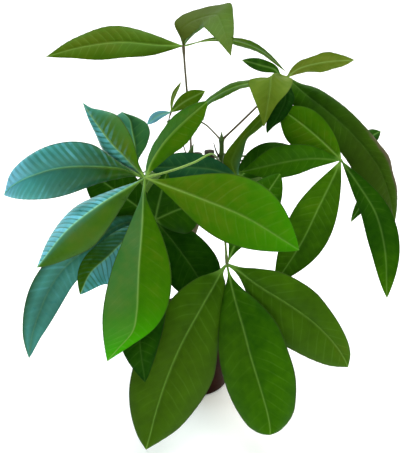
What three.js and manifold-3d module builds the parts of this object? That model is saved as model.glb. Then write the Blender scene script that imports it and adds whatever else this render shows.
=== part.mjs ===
// A small potted money tree (Pachira): three braided stems in a round plant pot, green shoots near
// the cut stem tops, and palmate leaves whose leaflets spread like the ribs of an umbrella.
// Millimetres, +Z up, origin at the centre of the pot's underside, +Y away from the viewer.

import * as THREE from "three";
import { mergeVertices } from "three/addons/utils/BufferGeometryUtils.js";
import Module from "manifold-3d";

const wasm = await Module();
wasm.setup();

// Driving dimensions
const POT = {
  height: 95,
  topRadius: 56,
  baseRadius: 44.5,
  wall: 2.6,
  floor: 4,
  rimHeight: 13,
  rimOut: 2.4,
  edge: 1.2,
  facets: 30,
};
const SOIL = { level: 84, crown: 3, lump: 1.6, clearance: 0.5, facets: 24 };
const STEM = { baseRadius: 7.2, topRadius: 5.5, knob: 0.5, topEdge: 1.2, foot: 26, facets: 8 };
const PLAIT = { width: 1.93, depth: 1.65, turn: 162, startAngle: 30, crossingHeight: 205, freeFrom: 274 };
const SHOOT = { baseRadius: 3.1, topRadius: 2.7, budLength: 9, budSlim: 0.82, facets: 6 };
const PETIOLE = { radius: 1.25, swollen: 1.9, facets: 5 };
const BLADE = {
  thickness: 0.8,
  stalk: 1.1,
  tip: 0.5,
  stalkDepth: 2,
  stalkShare: 0.14,
  fold: 12,
  cup: 0.2,
  wave: 1.2,
  waves: 2.4,
  waveOffset: 1.4,
};
const GAP = 0.3;

// The viewer that the visible leaves were placed by: eye in millimetres, pitch in degrees down,
// and the focal length and centre of a picture 402 by 453 pixels.
const EYE = new THREE.Vector3(9.5, -600, 412);
const PITCH = THREE.MathUtils.degToRad(18.1);
const FOCAL = 510;
const PICTURE_CENTRE = { x: 201, y: 226.5 };

const UP = new THREE.Vector3(0, 0, 1);

/** The point that shows at pixel (px, py) and lies in the plane y = depth. */
function seen(px, py, depth) {
  const right = px - PICTURE_CENTRE.x;
  const rise = PICTURE_CENTRE.y - py;
  const ray = new THREE.Vector3(
    right,
    FOCAL * Math.cos(PITCH) + rise * Math.sin(PITCH),
    rise * Math.cos(PITCH) - FOCAL * Math.sin(PITCH),
  );
  return EYE.clone().addScaledVector(ray, (depth - EYE.y) / ray.y);
}

const at = (x, y, z) => new THREE.Vector3(x, y, z);

// Solids

/** A closed solid from a list of points and the triangles that join them. */
function solid(points, triangles) {
  const vertProperties = new Float32Array(points.length * 3);
  points.forEach((p, i) => vertProperties.set([p.x, p.y, p.z], i * 3));
  const triVerts = new Uint32Array(triangles.flat());
  return new wasm.Manifold(new wasm.Mesh({ numProp: 3, vertProperties, triVerts }));
}

/** A three.js geometry as a solid, without the flat triangles that a lathe leaves on its axis. */
function solidOf(geometry) {
  const bare = geometry.clone();
  bare.deleteAttribute("normal");
  bare.deleteAttribute("uv");
  const merged = mergeVertices(bare, 1e-4);
  const places = merged.attributes.position;
  const points = [];
  for (let i = 0; i < places.count; i++) points.push(at(places.getX(i), places.getY(i), places.getZ(i)));
  const triangles = [];
  for (let i = 0; i < merged.index.count; i += 3) {
    const [a, b, c] = merged.index.array.slice(i, i + 3);
    if (a !== b && b !== c && c !== a) triangles.push([a, b, c]);
  }
  return solid(points, triangles);
}

/** Rings of points, each of the same count, joined into a closed body with fans over both ends. */
function loft(rings) {
  const sides = rings[0].length;
  const points = rings.flat();
  const triangles = [];
  for (let i = 0; i + 1 < rings.length; i++) {
    for (let j = 0; j < sides; j++) {
      const a = i * sides + j;
      const b = i * sides + ((j + 1) % sides);
      triangles.push([a, b, b + sides], [a, b + sides, a + sides]);
    }
  }
  const last = (rings.length - 1) * sides;
  for (let j = 1; j + 1 < sides; j++) {
    triangles.push([0, j + 1, j], [last, last + j, last + j + 1]);
  }
  return solid(points, triangles);
}

/** Directions square to a curve's tangent, carried along it without twisting. */
function carriedFrames(centres) {
  const frames = [];
  let side = null;
  for (let i = 0; i < centres.length; i++) {
    const before = centres[Math.max(i - 1, 0)];
    const after = centres[Math.min(i + 1, centres.length - 1)];
    const tangent = after.clone().sub(before).normalize();
    const guide = side ?? (Math.abs(tangent.x) < 0.8 ? at(1, 0, 0) : at(0, 1, 0));
    side = guide.clone().addScaledVector(tangent, -guide.dot(tangent)).normalize();
    frames.push({ tangent, side: side.clone(), other: tangent.clone().cross(side) });
  }
  return frames;
}

/** A round rod along centres, whose radius is radiusAt(0..1). */
function rod(centres, radiusAt, sides) {
  const frames = carriedFrames(centres);
  const rings = centres.map((centre, i) => {
    const radius = radiusAt(i / (centres.length - 1));
    return Array.from({ length: sides }, (_, j) => {
      const angle = (2 * Math.PI * j) / sides;
      return centre
        .clone()
        .addScaledVector(frames[i].side, radius * Math.cos(angle))
        .addScaledVector(frames[i].other, radius * Math.sin(angle));
    });
  });
  return loft(rings);
}

function mix(a, b, share) {
  return a + (b - a) * share;
}

function smooth(low, high, value) {
  const share = Math.min(Math.max((value - low) / (high - low), 0), 1);
  return share * share * (3 - 2 * share);
}

// Pot and soil

/** Outer radius of the pot's tapered wall at height z. */
function wallRadius(z) {
  return mix(POT.baseRadius, POT.topRadius, z / POT.height);
}

/** A plain tapered pot with a closed flat base and a band round its rim. */
function potSolid() {
  const { height, wall, floor, rimHeight, rimOut, edge } = POT;
  const rimFoot = height - rimHeight;
  const profile = [
    [0, 0],
    [wallRadius(0) - edge, 0],
    [wallRadius(edge), edge],
    [wallRadius(rimFoot - edge), rimFoot - edge],
    [wallRadius(rimFoot) + rimOut, rimFoot],
    [wallRadius(height) + rimOut, height - edge],
    [wallRadius(height) + rimOut - edge, height],
    [wallRadius(height) - wall + edge, height],
    [wallRadius(height) - wall, height - edge],
    [wallRadius(floor) - wall, floor],
    [0, floor],
  ];
  const outline = profile.map(([x, z]) => new THREE.Vector2(x, z));
  return solidOf(new THREE.LatheGeometry(outline, POT.facets).rotateX(Math.PI / 2));
}

/** The soil fills the pot from its floor and has a gently lumpy top. */
function soilSolid() {
  const radiusAt = (z) => wallRadius(z) - POT.wall - SOIL.clearance;
  const bottom = POT.floor + GAP;
  const topRadius = radiusAt(SOIL.level);
  const ring = (radius, heightAt) =>
    Array.from({ length: SOIL.facets }, (_, j) => {
      const angle = (2 * Math.PI * j) / SOIL.facets;
      return at(radius * Math.cos(angle), radius * Math.sin(angle), heightAt(radius, angle));
    });
  const surface = (radius, angle) => {
    const crown = SOIL.crown * (1 - (radius / topRadius) ** 2);
    const lumps = Math.sin(radius * 0.31 + 3 * angle) * Math.cos(radius * 0.17 - 5 * angle);
    return SOIL.level + crown + (SOIL.lump * lumps * radius) / topRadius;
  };
  return loft([
    ring(radiusAt(bottom), () => bottom),
    ring(topRadius, () => SOIL.level - SOIL.lump),
    ...[0.96, 0.8, 0.62, 0.42, 0.2].map((share) => ring(topRadius * share, surface)),
  ]);
}

// Braided stems

const STEM_AXIS = new THREE.CatmullRomCurve3([
  at(0, 0, 20),
  at(0, 0, 90),
  at(-4, 0, 150),
  at(-8, 0, 205),
  at(-3, 0, 255),
  at(6, 1, 312),
]);
const STEMS = [
  { name: "stem_middle", top: at(5, 10, 306) },
  { name: "stem_left", top: at(-8, -8, 286) },
  { name: "stem_right", top: at(19.5, -1, 311) },
];
const axisPoints = STEM_AXIS.getPoints(120);

function axisAt(z) {
  const next = Math.max(axisPoints.findIndex((p) => p.z >= z), 1);
  const low = axisPoints[next - 1];
  const high = axisPoints[next];
  return low.clone().lerp(high, (z - low.z) / (high.z - low.z));
}

function stemRadius(z) {
  return mix(STEM.baseRadius, STEM.topRadius, smooth(40, 300, z));
}

/** Centre of stem k where the plait is at height z; the free end leans to its own cut top. */
function stemCentre(k, z) {
  const { top } = STEMS[k];
  const turned = 360 * ((z - PLAIT.crossingHeight) / PLAIT.turn + k / STEMS.length) + PLAIT.startAngle;
  const phase = THREE.MathUtils.degToRad(turned);
  const plaited = axisAt(z);
  plaited.x += PLAIT.width * stemRadius(z) * Math.sin(phase);
  plaited.y += PLAIT.depth * stemRadius(z) * Math.sin(2 * phase);
  return plaited.lerp(at(top.x, top.y, z), smooth(PLAIT.freeFrom, top.z - 8, z));
}

/** A stem from its foot in the soil to its cut top; extra makes it thicker, to cut a seat with. */
function stemSolid(k, extra = 0) {
  const steps = 20;
  const knobStarts = 0.93;
  const knobFull = 0.97;
  const top = STEMS[k].top.z;
  const edge = top - STEM.topEdge;
  const heights = Array.from({ length: steps + 1 }, (_, i) => mix(STEM.foot, edge, i / steps));
  const centres = [...heights, top].map((z) => stemCentre(k, z));
  const radiusAt = (share) => {
    const z = mix(STEM.foot, top, share);
    const knob = STEM.knob * smooth(knobStarts, knobFull, share);
    return stemRadius(z) + knob - (share === 1 ? STEM.topEdge : 0) + extra;
  };
  return rod(centres, radiusAt, STEM.facets);
}

// Green shoots: each grows from the side of a stem, near its cut top

const SHOOTS = {
  right: {
    stem: 2,
    path: [at(15, 0, 283), at(24, -2, 284), at(31, -3, 292), at(33.5, -3, 305), at(33.5, -2, 324)],
  },
  left: {
    stem: 1,
    path: [at(-12, -6, 270), at(-15, -1, 277), at(-11, 3, 290), at(-5, 4, 300), at(-2, 5, 309)],
  },
  back: {
    stem: 0,
    path: [at(1, 11, 281), at(5, 20, 282), at(8, 28, 286), at(9, 32, 292)],
  },
};

function shootCurve(name) {
  return new THREE.CatmullRomCurve3(SHOOTS[name].path);
}

function shootSolid(name, extra = 0) {
  const curve = shootCurve(name);
  const length = curve.getLength();
  const centres = curve.getSpacedPoints(7);
  const along = curve.getTangentAt(1);
  const end = centres[centres.length - 1];
  centres.push(end.clone().addScaledVector(along, SHOOT.budLength * 0.45));
  centres.push(end.clone().addScaledVector(along, SHOOT.budLength));
  const bare = length / (length + SHOOT.budLength);
  const radiusAt = (share) => {
    const stalk = mix(SHOOT.baseRadius, SHOOT.topRadius, share);
    return stalk * (1 - SHOOT.budSlim * smooth(bare - 0.02, 1, share)) + extra;
  };
  return rod(centres, radiusAt, SHOOT.facets);
}

// Leaves

/** Share of a leaflet's greatest half width, at s from stalk (0) to tip (1). */
function outlineAt(s, { widest = 0.6, base = 1.5, point = 0.85 }) {
  if (s < widest) return Math.sin((Math.PI / 2) * (s / widest)) ** base;
  return Math.sin((Math.PI / 2) * ((1 - s) / (1 - widest))) ** point;
}

const placed = (spot) => (spot.isVector3 ? spot : seen(...spot));

/** Points that a line passes on its way from start to end, its depth changing evenly in the picture. */
function passed(start, along, end, shift = 0) {
  const marks = [start, ...along, end];
  const reach = [0];
  for (let i = 1; i < marks.length; i++) {
    reach.push(reach[i - 1] + Math.hypot(marks[i][0] - marks[i - 1][0], marks[i][1] - marks[i - 1][1]));
  }
  const total = reach[reach.length - 1];
  return along.map(([x, y, depth], i) => {
    return seen(x, y, shift + (depth ?? mix(start[2], end[2], reach[i + 1] / total)));
  });
}

/** The line that a midrib follows from the hub to the tip: through marked points, or arched by lift. */
function midribOf(hub, { tip, along, lift = 0 }) {
  const start = placed(hub);
  const end = placed(tip);
  const chord = end.clone().sub(start).normalize();
  const level = chord.clone().cross(UP).normalize();
  const rise = level.clone().cross(chord).normalize();
  if (along) {
    return { curve: new THREE.CatmullRomCurve3([start, ...passed(hub, along, tip), end]), chord, rise };
  }
  const middle = start.clone().lerp(end, 0.5).addScaledVector(rise, 2 * lift);
  return { curve: new THREE.QuadraticBezierCurve3(start, middle, end), chord, rise };
}

/** Direction that a blade's upper face looks: turned from the viewer, or rolled from upright. */
function faceOf(line, { turn, roll = 0 }) {
  const viewed = turn !== undefined;
  const towards = viewed ? EYE.clone().sub(line.curve.getPoint(0.5)) : line.rise.clone();
  const face = towards.addScaledVector(line.chord, -towards.dot(line.chord)).normalize();
  return face.applyAxisAngle(line.chord, THREE.MathUtils.degToRad(viewed ? turn : roll));
}

/**
 * A thin closed sheet. Each row has the same count of points across, from one edge to the other, with
 * the row's normal and thickness; neighbouring rows are joined, alike on the upper and lower face.
 */
function sheetSolid(rows) {
  const columns = rows[0].points.length;
  const offset = (share) => rows.flatMap(({ points, normal, thickness }) =>
    points.map((p) => p.clone().addScaledVector(normal, share * thickness)));
  const upper = offset(0.5);
  const lower = offset(-0.5);
  const below = upper.length;
  const triangles = [];
  const quad = (p, q, r, t) => triangles.push([p, q, r], [p, r, t]);
  for (let i = 0; i + 1 < rows.length; i++) {
    for (let j = 0; j + 1 < columns; j++) {
      const p = i * columns + j;
      const q = p + 1;
      const r = q + columns;
      const t = p + columns;
      quad(p, q, r, t);
      triangles.push([below + p, below + r, below + q], [below + p, below + t, below + r]);
    }
    const left = i * columns;
    const right = left + columns - 1;
    quad(below + left, left, left + columns, below + left + columns);
    quad(right, below + right, below + right + columns, right + columns);
  }
  const last = (rows.length - 1) * columns;
  for (let j = 0; j + 1 < columns; j++) {
    quad(j + 1, j, below + j, below + j + 1);
    quad(last + j, last + j + 1, below + last + j + 1, below + last + j);
  }
  return solid([...upper, ...lower], triangles);
}

/** Thickness of a leaflet at s: the stalk is deeper than the blade. */
function thicknessAt(s) {
  return mix(BLADE.stalkDepth, BLADE.thickness, smooth(0, BLADE.stalkShare, s));
}

/**
 * A leaflet: a folded, cupped and gently waved blade on a short stalk. Its rows are further apart near
 * the stalk and crowd towards the tip.
 */
function leafletSolid(hub, leaflet) {
  const { width, skew = 0, fold = BLADE.fold, cup = BLADE.cup } = leaflet;
  const line = midribOf(hub, leaflet);
  const face = faceOf(line, leaflet);
  const steps = width > 30 ? 8 : 6;
  const across = width > 45 ? [-1, -0.5, 0, 0.5, 1] : [-1, 0, 1];
  const crowding = 1.35;
  const foldAngle = THREE.MathUtils.degToRad(fold);
  const rows = [];
  for (let i = 0; i <= steps; i++) {
    const s = 1 - (1 - i / steps) ** crowding;
    const tangent = line.curve.getTangentAt(s);
    const normal = face.clone().addScaledVector(tangent, -face.dot(tangent)).normalize();
    const sideways = tangent.clone().cross(normal);
    const centre = line.curve.getPointAt(s);
    const least = mix(BLADE.stalk, BLADE.tip, smooth(0.5, 1, s));
    const half = Math.max((width / 2) * outlineAt(s, leaflet), least);
    const points = across.map((v) => {
      const phase = 2 * Math.PI * BLADE.waves * s + (v > 0 ? 0 : BLADE.waveOffset);
      const ripple = BLADE.wave * v * v * Math.sin(phase) * Math.sin(Math.PI * s);
      const raised = half * (Math.sin(foldAngle) * Math.abs(v) - cup * v * v) + ripple;
      const reach = v * half * (1 + skew * Math.sign(v)) * Math.cos(foldAngle);
      return centre.clone().addScaledVector(sideways, reach).addScaledVector(normal, raised);
    });
    rows.push({ points, normal, thickness: thicknessAt(s) });
  }
  return sheetSolid(rows);
}

/**
 * A leaflet given by matching marks along its edges, which lie left and right of someone who looks from
 * the hub to the tip at its upper face. The midrib runs through the marks in along, or else midway, and
 * may be sunk by a share of the width. lean sets the left edge back and the right edge forward, in mm.
 */
function edgedSolid(hub, { tip, left, right, along, lean = 0, sunk = 0 }) {
  const lefts = passed(hub, left, tip, lean);
  const rights = passed(hub, right, tip, -lean);
  const ribs = along ? passed(hub, along, tip) : lefts.map((p, i) => p.clone().lerp(rights[i], 0.5));
  const end = (spot, i, half) => {
    const across = rights[i].clone().sub(lefts[i]).setLength(half);
    return [placed(spot).sub(across), placed(spot), placed(spot).add(across)];
  };
  const lines = [
    end(hub, 0, BLADE.stalk),
    ...lefts.map((p, i) => [p, ribs[i], rights[i]]),
    end(tip, lefts.length - 1, BLADE.tip),
  ];
  const last = lines.length - 1;
  const rows = lines.map(([a, rib, b], i) => {
    const forward = lines[Math.min(i + 1, last)][1].clone().sub(lines[Math.max(i - 1, 0)][1]);
    const normal = b.clone().sub(a).cross(forward).normalize();
    const sunkRib = rib.clone().addScaledVector(normal, -sunk * a.distanceTo(b));
    return { points: [a, sunkRib, b], normal, thickness: thicknessAt(i / last) };
  });
  return sheetSolid(rows);
}

function petioleSolid(leaf) {
  const start = shootCurve(leaf.shoot).getPointAt(leaf.from);
  const hub = placed(leaf.hub);
  const curve = new THREE.CatmullRomCurve3([start, ...leaf.petiole.map(placed), hub]);
  const centres = curve.getSpacedPoints(leaf.petiole.length > 1 ? 10 : 7);
  centres.push(hub.clone().addScaledVector(curve.getTangentAt(1), 1.6));
  const radius = leaf.petioleRadius ?? PETIOLE.radius;
  const swell = PETIOLE.swollen / PETIOLE.radius;
  const radiusAt = (share) => {
    const collar = smooth(0.12, 0, share) + smooth(0.88, 0.95, share);
    return radius * mix(1, swell, collar) * (share === 1 ? 0.6 : 1);
  };
  return rod(centres, radiusAt, PETIOLE.facets);
}

function leafSolid(leaf) {
  let whole = petioleSolid(leaf);
  for (const leaflet of leaf.leaflets) {
    whole = whole.add(leaflet.left ? edgedSolid(leaf.hub, leaflet) : leafletSolid(leaf.hub, leaflet));
  }
  return whole.subtract(shootSolid(leaf.shoot, GAP));
}

// Each leaf: the shoot it grows from and how far up it, the points its petiole passes, its hub, and
// the leaflets round the hub. A place is either at(x, y, z) or [x, y, depth] as a pixel of the
// viewer's picture and millimetres behind the pot's middle. width is in mm; along lists pixels that
// the midrib passes, left and right those along the edges; turn faces the blade away from the viewer
// and roll from upright, in degrees.
const LEAVES = [
  {
    name: "leaf_front_left",
    shoot: "right",
    from: 0.46,
    petiole: [[212, 154, -30], [194, 162.5, -60], [172, 170.5, -84]],
    hub: [145, 178, -100],
    leaflets: [
      {
        tip: [83, 103, -66],
        left: [[134, 171.5], [117, 163.5], [103, 150.5], [95, 133.5], [88.5, 118.5], [85.5, 108.5]],
        along: [[137, 168], [126, 156], [113, 143], [101, 127.5], [92, 115.5], [86.5, 107.5]],
        right: [[139, 165.5], [136, 152], [130, 133.5], [117, 115.5], [103, 110.2], [91.5, 107.8]],
        lean: 4, sunk: -0.08,
      },
      {
        tip: [122, 112, -50],
        left: [[139.5, 170.5], [133, 160], [124, 146], [115, 130], [114.5, 118]],
        right: [[141.5, 169], [138.5, 160.5], [146.5, 146], [150, 132], [146, 122.5]],
      },
      {
        tip: [4, 195, -66],
        left: [
          [133, 176.5], [116, 179.5], [99, 183.5], [85, 188.5], [70, 194], [55, 198], [40, 199.7],
          [22, 199.5], [10, 197.5],
        ],
        along: [
          [124, 169.2], [110, 167.5], [96, 166.8], [83, 166.5], [69, 167], [54, 169], [40, 173],
          [24, 179], [11, 187],
        ],
        right: [
          [122, 164], [109, 155], [95, 145.5], [82, 142], [68, 141.5], [52, 144.5], [38, 150],
          [22, 160.5], [10, 174],
        ],
      },
      {
        tip: [37, 267.5, -132],
        along: [[120, 192], [96, 207], [66, 231]],
        width: 58, turn: 28, fold: -35, cup: 0.05,
      },
      {
        tip: [107.4, 361, -165],
        left: [
          [146.5, 198], [156, 221], [164, 241], [170.5, 266], [171, 290], [166, 311], [154, 329],
          [130, 346.5],
        ],
        along: [
          [143.5, 198], [142.5, 221], [141, 242], [139, 266], [138, 290], [137, 311], [133, 331],
          [118, 349],
        ],
        right: [
          [140.5, 198], [131, 221], [122, 242], [112.5, 267], [105.5, 294], [102.3, 317], [103, 336],
          [105, 350],
        ],
        lean: -5,
      },
      {
        tip: [299, 250, -165],
        along: [[173, 188], [202, 199], [247, 218]],
        width: 66, turn: 0, skew: -0.08,
      },
      {
        tip: [207, 101.5, -60],
        along: [[150.5, 163], [164, 142], [181, 124]],
        width: 36, skew: 0.12, turn: 32, fold: 26, base: 0.9, point: 0.7,
      },
    ],
  },
  {
    name: "leaf_front_low",
    shoot: "right",
    from: 0.2,
    petiole: [[222, 195, -45], [225, 238, -84]],
    hub: [227, 264, -95],
    leaflets: [
      {
        tip: [146, 449.5, -165],
        left: [
          [223.5, 273], [225.5, 284], [223, 309], [221, 330], [218, 350], [214, 376], [206, 394],
          [195, 410], [178, 429], [160, 441.5],
        ],
        along: [
          [221, 273], [214, 286], [205, 301], [196, 317], [187, 333], [178, 351], [170, 370],
          [162, 392], [155, 415], [150, 435],
        ],
        right: [
          [217.5, 270.5], [198, 277.5], [180, 290], [165, 307], [150, 330], [139, 351], [132, 371],
          [129, 392], [131, 415], [137.5, 436],
        ],
      },
      {
        tip: [270, 435, -165],
        left: [
          [231, 275], [241, 287], [262, 305], [278, 325], [288, 350], [295.5, 376], [296, 397],
          [293.5, 413], [286.5, 424.5], [278, 432],
        ],
        along: [
          [229.3, 275], [231.5, 286], [237, 307], [244, 331], [250, 354], [257, 377], [263, 397],
          [267, 411], [269.5, 423], [270.3, 431],
        ],
        right: [
          [227.5, 276], [225, 287], [220, 310], [218, 335], [219, 357], [223, 377], [230, 397],
          [239, 414], [249.5, 427.5], [261, 434],
        ],
      },
      {
        tip: [348, 367, -122],
        left: [
          [241, 267], [259, 268.5], [280, 272], [299, 280.5], [316, 292.5], [330, 309.5],
          [341, 326.5], [348.5, 343], [350.5, 355],
        ],
        along: [
          [238, 270.5], [250, 280], [265, 290], [281, 299.5], [297, 310], [312, 321], [326, 334],
          [337, 347], [344, 358],
        ],
        right: [
          [236, 273], [243, 285], [251, 306], [263, 326], [277, 341], [294, 351], [312, 360],
          [328, 365.5], [339, 367],
        ],
      },
      { tip: [280, 174, -62], along: [[236, 243], [258, 207]], width: 44, turn: 0, point: 0.7 },
    ],
  },
  {
    name: "leaf_right",
    shoot: "right",
    from: 0.66,
    petiole: [[245, 156, 8], [275, 151, 16], [308, 150, 6]],
    hub: [341, 160, -20],
    leaflets: [
      {
        tip: [240, 172, -34],
        along: [[305, 159]],
        width: 41, skew: 0.1, turn: -18, fold: 20, base: 1, point: 1.2,
      },
      {
        tip: [275, 284, -66],
        along: [[334, 176], [317.5, 210], [302.5, 241]],
        width: 52, turn: 0, widest: 0.54, base: 1,
      },
      {
        tip: [387, 298, -60],
        along: [[360, 187], [376, 214], [385, 250]],
        width: 36, turn: 10, widest: 0.55, base: 1,
      },
      { tip: [279, 108, 2], width: 47, skew: -0.12, turn: 0, lift: 3, base: 0.8 },
    ],
  },
  {
    name: "leaf_upper_right",
    shoot: "right",
    from: 0.97,
    petiole: [[241, 122, 2], [259, 104.5, 8]],
    hub: [287, 77, 12],
    leaflets: [
      { tip: [354, 60, -14], along: [[299, 68.5], [325, 62]], width: 28, turn: 44, base: 0.8 },
      {
        tip: [203, 121, 24],
        along: [[265, 81.5], [240, 85.5], [219, 94.5], [206, 104.5]],
        width: 21, turn: 62, base: 0.8,
      },
      {
        tip: [242, 60, 62],
        along: [[280, 75], [275, 69.5], [262, 65.5]],
        width: 15, turn: -10, base: 1.5,
      },
      {
        tip: [263.8, 126.5, -54],
        left: [[268, 77.5, -6], [248.5, 80.5, -30], [251.5, 93, -42], [257.5, 108, -50]],
        right: [[290, 77.5, 0], [293, 82, -22], [287.5, 92.5, -40], [276.5, 105, -48]],
        sunk: 0.12,
      },
      {
        tip: [394, 226, 16],
        left: [
          [300, 83], [316, 87.5], [330, 95.5], [347, 108.5], [365, 126.5], [379, 143], [389.5, 157],
          [393, 172], [397, 188], [397, 208],
        ],
        along: [
          [297, 87], [311, 98.5], [326, 110], [341, 123], [355, 137], [367, 151], [377, 165],
          [384, 179.5], [389, 195], [392.5, 211],
        ],
        right: [
          [289.5, 92], [294.5, 108], [309, 124], [326, 139], [340, 152], [349.5, 165], [356, 176.5],
          [364, 188], [375, 200], [386, 213],
        ],
        lean: 6,
      },
      {
        tip: [267, 133, -24],
        left: [[290.5, 86], [294.5, 98], [291, 109], [283, 120], [274, 126.5]],
        along: [[286, 89], [285.5, 100], [281.5, 110], [276, 120], [270.5, 128]],
        right: [[282, 90], [276.5, 99], [271, 108], [267.5, 118], [266, 127]],
      },
    ],
  },
  {
    name: "leaf_top",
    shoot: "left",
    from: 0.96,
    petiole: [[190.5, 133, 18], [187, 92, 27], [184.8, 66, 24]],
    hub: [183.4, 46, 20],
    leaflets: [
      {
        tip: [46, 56.8, 8],
        along: [[160, 45.2], [120, 42.3], [80, 47.5]],
        width: 41, turn: 30, widest: 0.5, base: 1, point: 1,
      },
      {
        tip: [230.8, 55.5, -16],
        left: [
          [180.5, 38, 24], [174.3, 23, 32], [182, 15, 38], [200, 8.6, 42], [222, 4.3, 40],
          [230.8, 3.2, 36], [233.5, 16, 24], [234, 32, 8],
        ],
        right: [
          [185, 40, 18], [189, 37, 18], [193.5, 32.5, 19], [199, 28, 20], [202, 26, 18],
          [203.5, 27, 15], [210, 33, 4], [218, 41, -6],
        ],
      },
      { tip: [285, 71, -8], along: [[213, 39.5], [242, 42.5], [264, 52.5]], width: 18, turn: 62, base: 2 },
      { tip: [224, 14, 105], along: [[196, 26, 55]], width: 34, roll: 0 },
    ],
  },
  {
    name: "leaf_small_top",
    shoot: "left",
    from: 0.72,
    petioleRadius: 0.8,
    petiole: [[182, 142, 16], [169, 122, 26]],
    hub: [171, 112, 30],
    leaflets: [
      { tip: [181, 82, 34], along: [[173, 97]], width: 8, turn: 50, base: 0.8 },
      { tip: [147, 124.5, 26], along: [[158, 115.5]], width: 11, turn: 0, base: 0.9 },
      { tip: [205, 91, 8], along: [[184, 102]], width: 18, turn: 0, base: 0.8 },
    ],
  },
  {
    name: "leaf_small_back",
    shoot: "right",
    from: 0.97,
    petioleRadius: 1,
    petiole: [[203, 123, 14]],
    hub: [184, 121, 40],
    leaflets: [
      { tip: at(-27, 92, 322), width: 15, lift: 4 },
      { tip: at(-5, 88, 320), width: 14, lift: 4 },
      { tip: at(-34, 70, 334), width: 14, lift: 4 },
    ],
  },
  {
    name: "leaf_left_low",
    shoot: "left",
    from: 0.34,
    petiole: [at(-23, -1, 284), at(-36, -20, 266)],
    hub: [155, 220, -44],
    leaflets: [
      { tip: [214, 304, -66], along: [[175, 244], [193, 269]], width: 63, turn: 0, base: 0.62 },
      { tip: [145, 382, -158], along: [[147, 262, -90], [140, 338, -144]], width: 52, turn: 0 },
      {
        tip: [80, 294.5, -96],
        along: [[128, 237], [108, 256], [90, 273]],
        width: 48, skew: -0.22, turn: -10, fold: 16, base: 1.1,
      },
      {
        tip: [29, 358, -84],
        along: [[122, 224], [94, 243], [57, 277], [33.5, 330]],
        width: 43, turn: -14, base: 0.8,
      },
      { tip: [167, 172, -60], along: [[160, 198]], width: 32, turn: 0, widest: 0.35, base: 0.7 },
      {
        tip: [207, 201, -66],
        along: [[180, 209]],
        width: 58, turn: 0, base: 0.8, widest: 0.5, point: 1.1,
      },
      { tip: [84, 168, -26], along: [[126, 198]], width: 56, turn: 0, base: 0.8 },
    ],
  },
  {
    name: "leaf_middle",
    shoot: "right",
    from: 0.33,
    petioleRadius: 1.0,
    petiole: [[231, 172, -16]],
    hub: [238, 178, -26],
    leaflets: [
      {
        tip: [271, 101, -18],
        left: [
          [230, 171.5], [223, 162], [226, 152.5], [235, 140.5], [248, 125.5], [259.5, 113.5],
          [266.5, 106],
        ],
        right: [
          [238.5, 170.5], [240.5, 162], [243.5, 152.5], [247.5, 139], [257, 131], [265, 123],
          [269.5, 112],
        ],
      },
      { tip: [147, 167, -44], along: [[210, 169]], width: 34, turn: 0, base: 0.8 },
      { tip: [300, 150, 0], along: [[262, 160, -12]], width: 36, turn: 0, base: 0.6, widest: 0.5 },
    ],
  },
  {
    name: "leaf_right_back",
    shoot: "back",
    from: 0.8,
    petiole: [[245, 160, 30], [300, 146, 38]],
    hub: [356, 152, 48],
    leaflets: [
      { tip: [380.5, 131.5, 78], width: 20, lift: 4, turn: 0 },
      { tip: [351, 222, 40], along: [[370, 184]], width: 20, turn: 30 },
      { tip: at(225, 130, 295), width: 36, lift: 5 },
      { tip: at(150, 140, 290), width: 38, lift: 6 },
    ],
  },
  {
    name: "leaf_left_back",
    shoot: "left",
    from: 0.6,
    petiole: [at(-20, 50, 290)],
    hub: at(-35, 85, 275),
    leaflets: [
      { tip: at(-140, 120, 200), width: 44, lift: 14 },
      { tip: at(-90, 170, 190), width: 45, lift: 14 },
      { tip: at(-30, 190, 200), width: 45, lift: 12 },
      { tip: at(40, 170, 210), width: 42, lift: 10 },
    ],
  },
  {
    name: "leaf_back",
    shoot: "back",
    from: 0.95,
    petiole: [at(40, 60, 292)],
    hub: at(72, 84, 272),
    leaflets: [
      { tip: at(115, 165, 210), width: 44, lift: 12 },
      { tip: at(64, 195, 192), width: 45, lift: 12 },
      { tip: at(120, 110, 288), width: 30, lift: 4 },
    ],
  },
];

const COLOURS = {
  pot: { color: 0x2a1712, roughness: 0.45, metalness: 0 },
  soil: { color: 0x2b1d14, roughness: 1, metalness: 0 },
  bark: { color: 0x6b5138, roughness: 0.85, metalness: 0 },
  shoot: { color: 0x55802f, roughness: 0.55, metalness: 0 },
  leaf: { color: 0x2f7a1c, roughness: 0.4, metalness: 0 },
};

function meshOf(name, body, finish) {
  const { numProp, vertProperties, triVerts } = body.getMesh();
  const positions = new Float32Array((vertProperties.length / numProp) * 3);
  for (let i = 0; i * numProp < vertProperties.length; i++) {
    positions.set(vertProperties.subarray(i * numProp, i * numProp + 3), i * 3);
  }
  const geometry = new THREE.BufferGeometry();
  geometry.setAttribute("position", new THREE.BufferAttribute(positions, 3));
  geometry.setIndex(new THREE.BufferAttribute(new Uint32Array(triVerts), 1));
  geometry.computeVertexNormals();
  const mesh = new THREE.Mesh(geometry, new THREE.MeshStandardMaterial(COLOURS[finish]));
  mesh.name = name;
  return mesh;
}

const plant = new THREE.Group();
plant.name = "potted_money_tree";

plant.add(meshOf("pot", potSolid(), "pot"));

let soil = soilSolid();
STEMS.forEach((_, k) => {
  soil = soil.subtract(stemSolid(k, GAP));
});
plant.add(meshOf("soil", soil, "soil"));

STEMS.forEach(({ name }, k) => plant.add(meshOf(name, stemSolid(k), "bark")));

for (const [name, { stem }] of Object.entries(SHOOTS)) {
  plant.add(meshOf(`shoot_${name}`, shootSolid(name).subtract(stemSolid(stem, GAP)), "shoot"));
}

for (const leaf of LEAVES) {
  plant.add(meshOf(leaf.name, leafSolid(leaf), "leaf"));
}

export default plant;
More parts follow.
